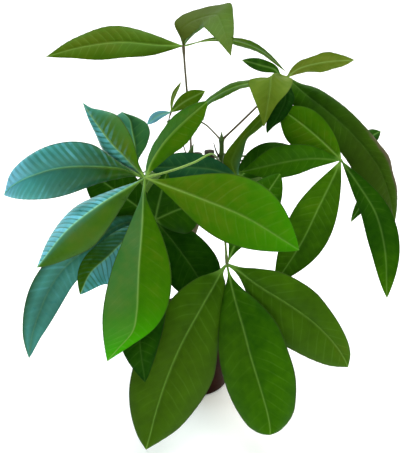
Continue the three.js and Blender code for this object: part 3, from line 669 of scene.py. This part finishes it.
def sheet_faces(rows, columns, top_skin):
    """Faces of a closed sheet, an upper and a lower layer of points joined round the edge."""
    up = np.arange(rows * columns).reshape(rows, columns)
    low = up + rows * columns
    under = (low[:-1, :-1], low[1:, :-1], low[1:, 1:], low[:-1, 1:])
    others = (
        (up[:-1, :-1], up[:-1, 1:], up[1:, 1:], up[1:, :-1]),
        (low[:-1, 0], up[:-1, 0], up[1:, 0], low[1:, 0]),
        (up[:-1, -1], low[:-1, -1], low[1:, -1], up[1:, -1]),
        (up[0, 1:], up[0, :-1], low[0, :-1], low[0, 1:]),
        (up[-1, :-1], up[-1, 1:], low[-1, 1:], low[-1, :-1]),
    )
    faces = np.vstack([np.stack([corner.ravel() for corner in four], axis=1) for four in (under, *others)])
    below = under[0].size
    return faces, [UNDER] * below + [top_skin] * (len(faces) - below)


def blade_looks(leaflet, s, v, off_rib):
    """The looks of a blade's points, at s along it and v across it."""
    looks = {look: spread(leaflet.get(look, 0), s, v) for look in LOOKS}
    for look in ("cool", "gleam"):
        looks[look] = looks[look] * spread(leaflet.get(look + "_across", 1), np.abs(v), v)
    looks["dry"] = looks["dry"] * smooth(0.4, 0.9, np.abs(v))
    pale = ridge(off_rib, mix(BLADE.pale_rib, BLADE.pale_tip, s)) * (1 - 0.3 * s)
    looks["rib"] = np.maximum(pale, 1 - smooth(0.03, 0.1, s)) * spread(leaflet.get("marked", 1), s, v)
    return {look: np.stack([values, KEPT_BELOW.get(look, 1) * values]) for look, values in looks.items()}


def add_leaflet(piece, hub, leaflet):
    """A folded, cupped and quilted blade with a grooved midrib, on a short round stalk."""
    edged = "left" in leaflet
    s, left, centre, right, normal, length = (edged_strip if edged else plain_strip)(hub, leaflet)
    half = np.linalg.norm(right - left, axis=1)[:, None] / 2
    widest = half.max()
    each_side = int(np.clip(widest / GRID.across, GRID.fewest_columns, GRID.most_columns))
    shares = np.linspace(0, 1, each_side + 1) ** GRID.to_edge
    v = np.concatenate([-shares[:0:-1], shares])[None, :]
    s = s[:, None]
    off_rib = np.abs(v) * half
    off_edge = (1 - np.abs(v)) * half
    broad = smooth(0, BLADE.full_relief, half) * smooth(*BLADE.relief_from, s)
    round_part = 1 - smooth(0, BLADE.stalk_share, s)

    slant = BLADE.vein_slant * off_rib + BLADE.vein_bend * off_rib * off_rib / widest
    veins = (s * length - slant) / leaflet.get("spacing", BLADE.vein_spacing) + 50
    swelling = np.abs(np.sin(np.pi * veins)) ** 0.7
    swelling *= smooth(0, BLADE.flat_by_rib, off_rib) * smooth(0, BLADE.flat_by_edge, off_edge)
    wave_at = 2 * np.pi * BLADE.waves * s + np.where(v > 0, 0, BLADE.wave_offset)
    wave = BLADE.wave * v * v * np.sin(wave_at) * np.sin(np.pi * s) * (BLADE.edged_wave if edged else 1)
    frill = BLADE.frill * np.abs(v) ** 3 * np.cos(2 * np.pi * veins)
    quilt = leaflet.get("quilting", BLADE.quilting) * swelling
    relief = broad * (wave + frill + quilt - BLADE.groove * ridge(off_rib, BLADE.groove_reach))
    cup = leaflet.get("cup", BLADE.edged_cup if edged else BLADE.cup) * (4 if edged else 1)
    raised = relief + cup * half * (np.abs(v) - v * v) - leaflet.get("sunk", 0) * 2 * off_edge

    side = np.where((v < 0)[..., None], left[:, None], right[:, None])
    sheet = mix(centre[:, None], side, np.abs(v)[..., None]) + normal[:, None] * raised[..., None]
    thickness = mix(BLADE.thickness, BLADE.stalk_depth, round_part)
    depth = thickness / 2 * np.sqrt(1 - 0.9 * np.abs(v) ** mix(9, 2, round_part))
    keel = BLADE.rib * ridge(off_rib, BLADE.rib_reach) * (1 - 0.8 * s) * broad
    upper = sheet + normal[:, None] * depth[..., None]
    lower = sheet - normal[:, None] * (depth + keel)[..., None]

    faces, slots = sheet_faces(*raised.shape, GLOSSY if leaflet.get("glossy") else UPPER)
    pattern = np.stack([veins, np.broadcast_to(v, veins.shape)], axis=2)
    looks = blade_looks(leaflet, s, v, off_rib)
    piece.add(np.stack([upper, lower]), faces, slots, veins=np.stack([pattern, pattern]), **looks)


# Where each shoot passes
SHOOTS = dict(
    right=[(15, 0, 283), (24, -2, 284), (31, -3, 292), (33.5, -3, 305), (33.5, -2, 324)],
    left=[(-12, -6, 270), (-15, -1, 277), (-11, 3, 290), (-5, 4, 300), (-2, 5, 309)],
    back=[(1, 11, 281), (5, 20, 282), (8, 28, 286), (9, 32, 292)],
)


def shoot_path(name):
    return Path(catmull_rom(SHOOTS[name]))


def lengthened(path, distance):
    """The path carried straight on from its end."""
    return Path(np.vstack([path.samples, path.at(1)[0] + path.tangent(1)[0] * distance]))


def add_petiole(piece, leaf):
    """A leaf's stalk, swollen where it leaves the shoot and where its leaflets meet."""
    start = shoot_path(leaf["shoot"]).at(leaf["start"])[0]
    path = Path(catmull_rom([start, *[placed(spot) for spot in leaf["petiole"]], placed(leaf["hub"])]))
    path = lengthened(path, PETIOLE.past_hub)
    s = np.linspace(0, 1, int(np.clip(path.length / PETIOLE.step, 16, 90)))
    swell = PETIOLE.swollen / PETIOLE.radius
    collar = smooth(PETIOLE.foot, 0, s) + smooth(*PETIOLE.hub, s)
    radii = leaf.get("stalk_radius", PETIOLE.radius) * mix(1, swell, collar)
    radii[-1] *= PETIOLE.end
    tone = leaf.get("stalk_tone", 0.85) * mix(0.4, 1, smooth(0, 0.35, s)) - 0.1 * smooth(0.93, 1, s)
    rod(piece, path, radii, PETIOLE.sides, STALK, tone)


def add_shoot(piece, name):
    """A green shoot that ends in a slim bud, with a low ring where each leaf stalk leaves it."""
    path = lengthened(shoot_path(name), SHOOT.bud_length)
    s = np.linspace(0, 1, SHOOT.rings)
    bare = 1 - SHOOT.bud_length / path.length
    radii = mix(SHOOT.base_radius, SHOOT.top_radius, s)
    for leaf in LEAVES:
        if leaf["shoot"] == name:
            radii += SHOOT.ring * ridge((s - leaf["start"] * bare) * path.length, SHOOT.ring_reach)
    radii *= 1 - SHOOT.bud_slim * smooth(bare - 0.02, 1, s)
    radii[-1] *= SHOOT.end
    rod(piece, path, radii, SHOOT.sides, 0, mix(0.35, 0.62, smooth(0.1, 0.7, s)))


# Braided stems

STEM_AXIS = catmull_rom([(0, 0, 20), (0, 0, 90), (-4, 0, 150), (-8, 0, 205), (-3, 0, 255), (6, 1, 312)])
# The cut top of each stem
STEMS = dict(stem_middle=(5, 10, 306), stem_left=(-8, -8, 286), stem_right=(19.5, -1, 311))


def stem_radius(z):
    return mix(STEM.base_radius, STEM.top_radius, smooth(40, 300, z))


def stem_centre(k, top, z):
    """Centre of stem k at heights z; its free end leans from the plait to its own cut top."""
    share = (z - PLAIT.crossing_height) / PLAIT.turn + k / len(STEMS)
    phase = np.radians(360 * share + PLAIT.start_angle)
    plaited = np.stack([np.interp(z, STEM_AXIS[:, 2], axis) for axis in STEM_AXIS.T], axis=1)
    plaited[:, 0] += PLAIT.width * stem_radius(z) * np.sin(phase)
    plaited[:, 1] += PLAIT.depth * stem_radius(z) * np.sin(2 * phase)
    free = smooth(PLAIT.free_from, top[2] - PLAIT.free_end, z)[:, None]
    upright = np.stack([np.full_like(z, top[0]), np.full_like(z, top[1]), z], axis=1)
    return mix(plaited, upright, free)


def lumps(points, layers, number=0):
    """Smooth relief at points, summed over layers of (height, size, seed). number varies the seeds."""
    relief = 0
    for height, size, seed in layers:
        seed += number
        shift = Vector((seed, 2.3 * seed, -1.7 * seed))
        relief = relief + height * np.array([noise.noise(Vector(p) / size + shift) for p in points])
    return relief


def add_stem(piece, k, cut_top):
    """A stem with leaf-scar rings, wrinkled bark and a rough cut top."""
    top = cut_top[2]
    foot, edge, sides = STEM.foot, STEM.top_edge, STEM.sides
    heights = np.concatenate([np.linspace(foot, top - edge, STEM.rings), [top - 0.4, top]])
    path = Path(stem_centre(k, cut_top, heights))
    share = (heights - foot) / (top - foot)
    radii = stem_radius(heights) + STEM.knob * smooth(*STEM.knob_from, share)
    uneven = lumps([(i * 3.7, k, 0) for i in range(30)], [(SCARS.spread, 1, 11)])
    scars = np.cumsum(SCARS.spacing + uneven) + foot
    for scar in scars[scars < top - SCARS.clear_top]:
        radii += SCARS.height * ridge(heights - scar, SCARS.reach)
        radii -= SCARS.dip * ridge(heights - scar - SCARS.dip_above, SCARS.dip_reach)
    # The edge of the cut is rounded in two steps
    radii[-2] -= 0.35
    radii[-1] -= edge
    outward = outward_rings(path, path.reach / path.length, sides)
    skin = path.samples[:, None] + radii[:, None, None] * outward
    drawn_out = (skin * [1, 1, 0.45]).reshape(-1, 3)
    skin = skin + lumps(drawn_out, BARK_LUMPS, k).reshape(len(skin), sides, 1) * outward
    middle = path.samples[-1] + at(0, 0, 0.25)
    dents = ((0.7, -0.5), (0.35, 0.15), (0.1, -0.35))
    rings = np.concatenate([skin, [mix(middle, skin[-1], reach) + at(0, 0, up) for reach, up in dents]])
    faces = ring_faces(len(rings), sides)
    below_cut = (len(skin) - 1) * sides
    slots = [0 if face[0] < below_cut else 1 for face in faces]
    slots[-2] = 0
    tone = smooth(0.2, 1.05, np.append(share, [1, 1, 1]))
    dry = smooth(top - STEM.dry_from, top - STEM.dry_at, np.append(heights, [top, top, top]))
    piece.add(rings, faces, slots, tone=np.repeat(tone, sides), dry=np.repeat(dry, sides))


def add_spur(piece):
    """A thin dry spur, left where an old leaf fell."""
    radii = np.linspace(SPUR.foot_radius, SPUR.tip_radius, SPUR.rings)
    rod(piece, Path(catmull_rom([placed(mark) for mark in SPUR.marks])), radii, SPUR.sides, 1)


# Soil and pot


def wall_radius(z):
    """Outer radius of the pot's tapered wall."""
    return mix(POT.base_radius, POT.top_radius, z / POT.height)


def soil_piece():
    """Peat that fills the pot, with a crumbly top."""
    level, sides = SOIL.level, SOIL.sides
    angle = 2 * np.pi * np.arange(sides) / sides
    bottom = POT.floor + SOIL.above_floor
    inside = POT.wall + SOIL.clearance
    top = wall_radius(level) - inside
    rings = [
        level_ring(wall_radius(bottom) - inside, bottom, sides),
        level_ring(top, level - SOIL.lump - SOIL.shoulder, sides),
    ]
    for share in np.linspace(1, 0.02, SOIL.rings):
        radius = top * share - 0.15 * (share == 1)
        crown = SOIL.crown * (1 - share**2)
        swell = np.sin(radius * 0.31 + 3 * angle) * np.cos(radius * 0.17 - 5 * angle)
        surface = level_ring(radius, level + crown + SOIL.lump * swell * share, sides)
        surface[:, 2] += lumps(surface, SOIL_LUMPS) * min(1, 12 * (1 - share))
        rings.append(surface)
    piece = Piece()
    piece.add(rings, ring_faces(len(rings), sides), 0)
    return piece


def rounded(profile, radius=0.5):
    """The profile with each inner corner replaced by a small curve."""
    points = [profile[0]]
    for before, corner, after in zip(profile, profile[1:], profile[2:]):
        b, c, a = (np.array(p, float) for p in (before, corner, after))
        reach = min(radius, np.linalg.norm(b - c) / 2.2, np.linalg.norm(a - c) / 2.2)
        start = c + unit(b - c) * reach
        end = c + unit(a - c) * reach
        points += [bezier(start, c, end, t) for t in (0, 0.25, 0.5, 0.75, 1)]
    return [*points, profile[-1]]


def pot_piece():
    """A plain tapered pot with a closed flat base and a band round its rim."""
    height, edge, middle, floor = POT.height, POT.edge, POT.middle, POT.floor
    rim_foot = height - POT.rim_height
    rim = wall_radius(height) + POT.rim_out
    inside = wall_radius(height) - POT.wall
    profile = rounded(
        [
            (middle, 0),
            (wall_radius(0) - edge, 0),
            (wall_radius(edge), edge),
            (wall_radius(rim_foot - edge), rim_foot - edge),
            (wall_radius(rim_foot) + POT.rim_out, rim_foot),
            (rim, height - edge),
            (rim - edge, height),
            (inside + edge, height),
            (inside, height - edge),
            (wall_radius(floor) - POT.wall, floor),
            (middle, floor),
        ]
    )
    piece = Piece()
    rings = [level_ring(radius, z, POT.sides) for radius, z in profile]
    piece.add(rings, ring_faces(len(rings), POT.sides), 0)
    return piece


# Materials

# Colours from the lowest value to the highest, as (value, red, green, blue)
RAMPS = dict(
    upper=[
        (0.0, 0.003, 0.034, 0.001), (0.24, 0.017, 0.08, 0.001), (0.48, 0.046, 0.155, 0.001),
        (0.64, 0.095, 0.165, 0.005), (0.8, 0.17, 0.23, 0.025), (1.0, 0.22, 0.2, 0.04),
    ],
    under=[(0.0, 0.035, 0.085, 0.008), (0.36, 0.065, 0.15, 0.008), (0.8, 0.18, 0.26, 0.025)],
    veins=[(0.0, 0.08, 0.2, 0.04), (0.4, 0.2, 0.4, 0.06), (0.8, 0.33, 0.48, 0.12)],
    stalk=[
        (0.0, 0.09, 0.06, 0.04), (0.3, 0.1, 0.09, 0.045), (0.6, 0.1, 0.17, 0.03), (0.9, 0.2, 0.36, 0.06),
    ],
    bark=[(0.28, 0.035, 0.024, 0.016), (0.5, 0.11, 0.075, 0.042), (0.72, 0.23, 0.18, 0.11)],
    cut=[(0.3, 0.008, 0.004, 0.003), (0.7, 0.035, 0.015, 0.01)],
    soil=[(0.3, 0.008, 0.005, 0.004), (0.55, 0.035, 0.022, 0.014), (0.8, 0.11, 0.07, 0.04)],
    pot=[(0.3, 0.012, 0.003, 0.001), (0.75, 0.03, 0.007, 0.002)],
    floor=[(0.3, 0.93, 0.93, 0.93), (0.7, 0.96, 0.96, 0.96)],
)
# Bright yellow-green painted where light falls on a blade
PAINTED_LIT_GREEN = (0.045, 0.36, 0.002, 1)
OLIVE = (0.07, 0.08, 0.01, 1)
# Painted reflection of cool blue light on leaves: its colour, its strongest colour and its colour on the
# veins
PAINTED_COOL_SHEEN = (0.07, 0.4, 0.42, 1)
STRONG_PAINTED_COOL_SHEEN = (0.25, 0.66, 1.0, 1)
PAINTED_COOL_SHEEN_ON_VEINS = (0.3, 0.75, 0.6, 1)
# Painted highlight: pale glints in stripes between the side veins
PAINTED_GLEAM = (0.2, 0.68, 0.92, 1)
LEAF_EDGE = (0.03, 0.035, 0.015, 1)
WITHERED = (0.1, 0.08, 0.05, 1)
LIT_THROUGH = (0.2, 0.42, 0.005, 1)
STALK_STREAKS = (0.05, 0.06, 0.02, 1)
GROWN_STALK = (0.025, 0.07, 0.012, 1)
YOUNG_BARK = (0.09, 0.12, 0.03, 1)
DRY_BARK = (0.016, 0.008, 0.006, 1)
PORES = (0.3, 0.24, 0.16, 1)
SCUFFS = (0.06, 0.035, 0.03, 1)
DULL = (0.35, 1, 0.15, 1)
CLEAR = (0.8, 1, 0.6, 1)
# A leaf's colours, how strongly its side veins show (from, to), the relief of its veins, its roughness,
# its gloss and the colour of it, and the share of light that passes through it
LEAF_SKINS = dict(
    upper=dict(ramp="upper", veins=(0.02, 0.14), relief=-0.6, rough=0.38, gloss=0.14, tint=DULL, lit=0.2),
    under=dict(ramp="under", veins=(0.02, 0.14), relief=0.6, rough=0.38, gloss=0.04, tint=DULL, lit=0.4),
    glossy=dict(ramp="upper", veins=(0.0, 0.0), relief=-0.6, rough=0.22, gloss=0.25, tint=CLEAR, lit=0.2),
)


class Value:
    """What a node gives out. Values can be added, subtracted and multiplied."""

    def __init__(self, shader, socket):
        self.shader = shader
        self.socket = socket

    def __add__(self, other):
        return self.shader.maths("ADD", self, other)

    def __sub__(self, other):
        return self.shader.maths("SUBTRACT", self, other)

    def __rsub__(self, other):
        return self.shader.maths("SUBTRACT", other, self)

    def __mul__(self, other):
        return self.shader.maths("MULTIPLY", self, other)

    def __abs__(self):
        return self.shader.maths("ABSOLUTE", self)


class Shader:
    """A node material in the making."""

    def __init__(self, name):
        self.material = bpy.data.materials.new(name)
        self.material.use_nodes = True
        self.tree = self.material.node_tree
        self.tree.nodes.clear()

    def feed(self, socket, value):
        if isinstance(value, Value):
            self.tree.links.new(value.socket, socket)
        else:
            socket.default_value = value

    def node(self, kind, settings=None, give=0, **inputs):
        """The output that a new node gives, with its settings and its inputs by name."""
        node = self.tree.nodes.new("ShaderNode" + kind)
        for key, value in (settings or {}).items():
            setattr(node, key, value)
        for key, value in inputs.items():
            self.feed(node.inputs[key.replace("_", " ")], value)
        return Value(self, node.outputs[give])

    def maths(self, kind, *values):
        """One step of arithmetic."""
        node = self.tree.nodes.new("ShaderNodeMath")
        node.operation = kind
        for socket, value in zip(node.inputs, values):
            self.feed(socket, value)
        return Value(self, node.outputs[0])

    def varied(self, value, texture, amount):
        """The value, shifted down and up by a texture that goes from 0 to 1."""
        return value + (texture - 0.5) * amount

    def step(self, value, low, high, out_low=0.0, out_high=1.0):
        """value from low to high becomes out_low to out_high, smoothly."""
        settings = dict(interpolation_type="SMOOTHSTEP")
        ends = dict(From_Min=low, From_Max=high, To_Min=out_low, To_Max=out_high)
        return self.node("MapRange", settings, Value=value, **ends)

    def ramp(self, value, name):
        """The colour that a ramp gives each value."""
        node = self.tree.nodes.new("ShaderNodeValToRGB")
        self.feed(node.inputs[0], value)
        elements = node.color_ramp.elements
        for stop in RAMPS[name][2:]:
            elements.new(stop[0])
        for element, stop in zip(elements, RAMPS[name]):
            element.position = stop[0]
            element.color = (*stop[1:], 1)
        return Value(self, node.outputs[0])

    def blend(self, share, a, b):
        """Colours a and b mixed by share."""
        node = self.tree.nodes.new("ShaderNodeMix")
        node.data_type = "RGBA"
        for index, value in ((0, share), (6, a), (7, b)):
            self.feed(node.inputs[index], value)
        return Value(self, node.outputs[2])

    def texture(self, kind, squeeze, **inputs):
        """A texture in object coordinates, squeezed along x, y and z."""
        place = self.node("Mapping", Vector=self.node("TexCoord", give="Object"), Scale=squeeze)
        return self.node(kind, Vector=place, **inputs)

    def noise(self, scale, detail=3.0, distortion=0.0, squeeze=(1, 1, 1)):
        return self.texture("TexNoise", squeeze, Scale=scale, Detail=detail, Distortion=distortion)

    def cells(self, scale, squeeze=(1, 1, 1)):
        """Distance from the middle of the nearest cell."""
        return self.texture("TexVoronoi", squeeze, Scale=scale)

    def attribute(self, name):
        return self.node("Attribute", dict(attribute_name=name), give="Fac")

    def bump(self, height, distance, strength):
        return self.node("Bump", Height=height, Distance=distance, Strength=strength)

    def skin(self, **inputs):
        return self.node("BsdfPrincipled", **inputs)

    def finished(self, surface):
        """The material with this surface."""
        output = self.tree.nodes.new("ShaderNodeOutputMaterial")
        self.feed(output.inputs["Surface"], surface)
        return self.material


def leaf_material(name, kind):
    """Green leaf skin with pale veins, painted cool reflections and highlights, in one of the LEAF_SKINS."""
    sh = Shader(name)
    finish = LEAF_SKINS[kind]
    wide = sh.noise(22, 2.0)
    fine = sh.noise(130, 4.0)

    # Side veins lie where the count along the blade, which wanders a little, passes a whole number
    pattern = sh.node("UVMap", dict(uv_map="Veins"))
    count = sh.varied(sh.node("SeparateXYZ", give="X", Vector=pattern), sh.noise(26, 1.0), 0.9)
    luck = sh.node("TexWhiteNoise", dict(noise_dimensions="1D"), W=sh.maths("FLOOR", count))
    from_middle = abs(sh.maths("FRACT", count) - 0.5)
    edge = abs(sh.node("SeparateXYZ", give="Y", Vector=pattern))
    vein = sh.step(from_middle, 0.38, 0.5) * sh.step(edge, 0.55, 1.0, 1.0, 0.1)
    lines = sh.maths("MAXIMUM", sh.attribute("rib"), vein * sh.step(wide, 0.35, 0.65, *finish["veins"]))

    shade = sh.varied(sh.attribute("tone"), wide, 0.38)
    shade = sh.varied(shade, sh.noise(65, 2.0), 0.2)
    shade = (sh.varied(shade, fine, 0.2) - sh.step(edge, 0.6, 1.0) * 0.05) * 0.8
    colour = sh.ramp(shade, finish["ramp"])
    # Painted light: bright yellow-green where a blade is lit
    colour = sh.blend(sh.step(sh.attribute("fresh"), 0.0, 1.0), colour, PAINTED_LIT_GREEN)
    colour = sh.blend(sh.attribute("olive"), colour, OLIVE)

    # The painted reflection of cool light lies in soft clouds, thinner next to the painted highlight
    # stripes between side veins
    cool = sh.attribute("cool")
    gleam = sh.attribute("gleam")
    reach = sh.step(gleam, 0.0, 1.0, 0.24, 0.47)
    stripes = sh.step(from_middle, reach, reach - 0.2)
    painted_cool_sheen = sh.maths("MINIMUM", cool, 1.0) * sh.step(wide, 0.32, 0.6, 0.7, 1.0)
    painted_cool_sheen = painted_cool_sheen * (1.0 - gleam * 0.5 * (1.0 - stripes))
    colour = sh.blend(painted_cool_sheen, colour, sh.blend(sh.step(cool, 1.0, 2.0), PAINTED_COOL_SHEEN, STRONG_PAINTED_COOL_SHEEN))
    # Painted highlights: pale glints in the stripes between side veins, broken into patches
    patches = sh.step(fine, 0.35, 0.62, 0.3, 1.0) * sh.step(wide, 0.3, 0.6, 0.3, 1.0)
    stripes = stripes * patches * sh.step(luck, 0.0, 1.0, 0.25, 1.0)
    colour = sh.blend(gleam * stripes, colour, PAINTED_GLEAM)

    # Pale veins, tinted where the painted cool reflection lies
    colour = sh.blend(lines * 0.9, colour, sh.blend(painted_cool_sheen, sh.ramp(shade, "veins"), PAINTED_COOL_SHEEN_ON_VEINS))
    colour = sh.blend(sh.step(edge, 0.94, 0.995, 0.0, 0.6), colour, LEAF_EDGE)
    colour = sh.blend(sh.step(sh.varied(sh.attribute("dry"), fine, 0.8), 0.3, 0.9), colour, WITHERED)
    normal = sh.bump(lines * finish["relief"] + sh.noise(900, 2.0) * 0.4 + wide * 3.0, 0.0003, 0.6)
    skin = sh.skin(
        Base_Color=colour,
        Roughness=fine * 0.16 + finish["rough"],
        Specular_IOR_Level=finish["gloss"],
        Specular_Tint=finish["tint"],
        Normal=normal,
    )
    glow = sh.blend(sh.step(shade, 0.0, 0.4, 0.1, 0.45), colour, LIT_THROUGH)
    through = sh.node("BsdfTranslucent", Color=glow, Normal=normal)
    both = sh.tree.nodes.new("ShaderNodeMixShader")
    for socket, value in zip(both.inputs, (finish["lit"], skin, through)):
        sh.feed(socket, value)
    return sh.finished(Value(sh, both.outputs[0]))


def stalk_material(name, grown=0.0):
    """Leaf stalks, from brown where they are oldest to pale green, and darker where they have grown."""
    sh = Shader(name)
    streaks = sh.noise(500, squeeze=(1, 1, 0.2))
    patches = sh.noise(60)
    colour = sh.ramp(sh.varied(sh.attribute("tone"), patches, 0.3), "stalk")
    colour = sh.blend(sh.step(streaks, 0.45, 0.75, 0.0, 0.35), colour, STALK_STREAKS)
    skin = sh.skin(
        Base_Color=sh.blend(grown, colour, GROWN_STALK),
        Roughness=patches * 0.2 + 0.33,
        Specular_IOR_Level=0.25,
        Subsurface_Weight=0.1,
        Subsurface_Scale=0.002,
        Normal=sh.bump(streaks, 0.0002, 0.5),
    )
    return sh.finished(skin)


def bark_material(name):
    """Smooth greenish-brown bark with grey wrinkles and small pale pores."""
    sh = Shader(name)
    wrinkles = sh.noise(420, 5.0, 0.6, (1, 1, 0.28))
    patches = sh.noise(85, 4.0, squeeze=(1, 1, 0.6))
    pores = sh.cells(230, (1, 1, 1.8))
    colour = sh.ramp(patches * 0.6 + wrinkles * 0.4, "bark")
    young = sh.attribute("tone") * sh.step(patches, 0.35, 0.62)
    colour = sh.blend(young * 0.5, colour, YOUNG_BARK)
    colour = sh.blend(sh.step(pores, 0.16, 0.05, 0.0, 0.6), colour, PORES)
    dry = sh.step(sh.varied(sh.attribute("dry"), patches, 0.8), 0.2, 0.9, 0.0, 0.9)
    normal = sh.bump(wrinkles + sh.step(pores, 0.3, 0.05) * 0.25, 0.0006, 0.8)
    colour = sh.blend(dry, colour, DRY_BARK)
    return sh.finished(sh.skin(Base_Color=colour, Roughness=wrinkles * 0.2 + 0.62, Normal=normal))


def cut_material(name):
    """The dried, dark brown face of a cut stem."""
    sh = Shader(name)
    fibres = sh.noise(700, 5.0, 1.0, (1, 1, 0.3))
    skin = sh.skin(
        Base_Color=sh.ramp(fibres, "cut"),
        Roughness=0.85,
        Specular_IOR_Level=0.2,
        Normal=sh.bump(fibres, 0.0008, 0.9),
    )
    return sh.finished(skin)


def soil_material(name):
    """Dark peat with lighter fibres and crumbs."""
    sh = Shader(name)
    clods = sh.noise(240, 6.0, 0.4)
    normal = sh.bump(clods + sh.cells(420) * 0.6, 0.0012, 0.9)
    return sh.finished(sh.skin(Base_Color=sh.ramp(clods, "soil"), Roughness=0.95, Normal=normal))


def pot_material(name):
    """Dark maroon moulded plastic, a little dusty and scuffed."""
    sh = Shader(name)
    cloud = sh.noise(35, 4.0)
    scuffs = sh.noise(160, 3.0, 0.5, (1, 1, 6))
    grain = sh.noise(1600, 2.0)
    skin = sh.skin(
        Base_Color=sh.blend(sh.step(scuffs, 0.6, 0.85, 0.0, 0.2), sh.ramp(cloud, "pot"), SCUFFS),
        Roughness=cloud * 0.18 + sh.step(scuffs, 0.5, 0.8, 0.3, 0.42),
        Specular_IOR_Level=0.03,
        Normal=sh.bump(grain * 0.6 + scuffs * 0.4, 0.00008, 0.6),
    )
    return sh.finished(skin)


def floor_material(name):
    """Pale matt ground with a faint glow, so that it comes out as white as the photo's."""
    sh = Shader(name)
    colour = sh.ramp(sh.noise(3, 2.0), "floor")
    glow = dict(Emission_Color=colour, Emission_Strength=FLOOR.glow)
    return sh.finished(sh.skin(Base_Color=colour, Roughness=0.8, **glow))


# The plant

leaf_finish = [
    leaf_material("leaf_upper", "upper"),
    leaf_material("leaf_under", "under"),
    stalk_material("leaf_stalk"),
    leaf_material("leaf_glossy", "glossy"),
]
for leaf in LEAVES:
    foliage = Piece()
    add_petiole(foliage, leaf)
    for leaflet in leaf["leaflets"]:
        add_leaflet(foliage, leaf["hub"], leaflet)
    foliage.made(leaf["name"] + "_foliage", leaf_finish, [leaf["name"]], "leaf")

shoot_finish = [stalk_material("green_shoot", grown=0.75)]
for name in SHOOTS:
    shoot = Piece()
    add_shoot(shoot, name)
    shoot.made(f"shoot_{name}_growth", shoot_finish, [f"shoot_{name}"], "shoot")

bark_finish = [bark_material("bark"), cut_material("cut_wood")]
for k, (name, cut_top) in enumerate(STEMS.items()):
    trunk = Piece()
    add_stem(trunk, k, cut_top)
    if name == SPUR.stem:
        add_spur(trunk)
    trunk.made(name + "_trunk", bark_finish, [name], "bark")

soil_piece().made("soil_bed", [soil_material("peat")], ["soil"], "soil")
pot_piece().made("nursery_pot", [pot_material("maroon_plastic")], ["pot"], "pot", sharp=30)


# Floor, light and camera, in metres

FLOOR = Sizes(front=-2.5, bend_from=1.6, bend_radius=1, top=3.5, half_width=4, below=0.0003, glow=0.16)
PLANT_MIDDLE = (0, 0, 0.25)
BACKDROP = (0, 2.5, 0.5)
LIGHTS = dict(
    overhead=dict(place=(0.3, -0.1, 2.1), target=PLANT_MIDDLE, size=2.2, power=64, colour=(1, 1, 0.97)),
    window=dict(place=(-1.3, 0.9, 1.3), target=PLANT_MIDDLE, size=1.3, power=18, colour=(0.55, 0.87, 1)),
    backdrop=dict(place=(0, 1.2, 2), target=BACKDROP, size=1.4, power=26, colour=(1, 1, 1)),
)
SKY = dict(Color=(1.0, 0.98, 0.8, 1), Strength=0.4)


def sweep():
    """A pale floor that curves up behind the plant."""
    radius = FLOOR.bend_radius
    bend = [math.radians(a) for a in range(0, 91, 6)]
    profile = [(FLOOR.front, 0)]
    profile += [(FLOOR.bend_from + radius * math.sin(a), radius * (1 - math.cos(a))) for a in bend]
    profile += [(FLOOR.bend_from + radius, FLOOR.top)]
    sides = (-FLOOR.half_width, FLOOR.half_width)
    points = [(x, y, z - FLOOR.below) for y, z in profile for x in sides]
    faces = [(2 * i, 2 * i + 1, 2 * i + 3, 2 * i + 2) for i in range(len(profile) - 1)]
    mesh = bpy.data.meshes.new("floor")
    mesh.from_pydata(points, [], faces)
    mesh.polygons.foreach_set("use_smooth", [True] * len(faces))
    mesh.materials.append(floor_material("pale_floor"))
    obj = scene_object("floor", mesh)


def area_light(name, place, target, size, power, colour):
    data = bpy.data.lights.new(name, "AREA")
    data.size = size
    data.energy = power
    data.color = colour
    obj = scene_object(name, data)
    obj.location = place
    obj.rotation_euler = (Vector(target) - Vector(place)).to_track_quat("-Z", "Y").to_euler()


sweep()
for name, light in LIGHTS.items():
    area_light(name, **light)

world = bpy.data.worlds.new("studio")
world.use_nodes = True
for key, value in SKY.items():
    world.node_tree.nodes["Background"].inputs[key].default_value = value
bpy.context.scene.world = world
bpy.context.scene.view_settings.view_transform = "Standard"

lens = bpy.data.cameras.new("camera")
lens.sensor_width = 36
lens.lens = lens.sensor_width * FOCAL / max(PICTURE)
lens.clip_start = 0.01
camera = scene_object("camera", lens)
camera.location = EYE * MM
camera.rotation_euler = (math.pi / 2 - PITCH, 0, 0)
bpy.context.scene.camera = camera
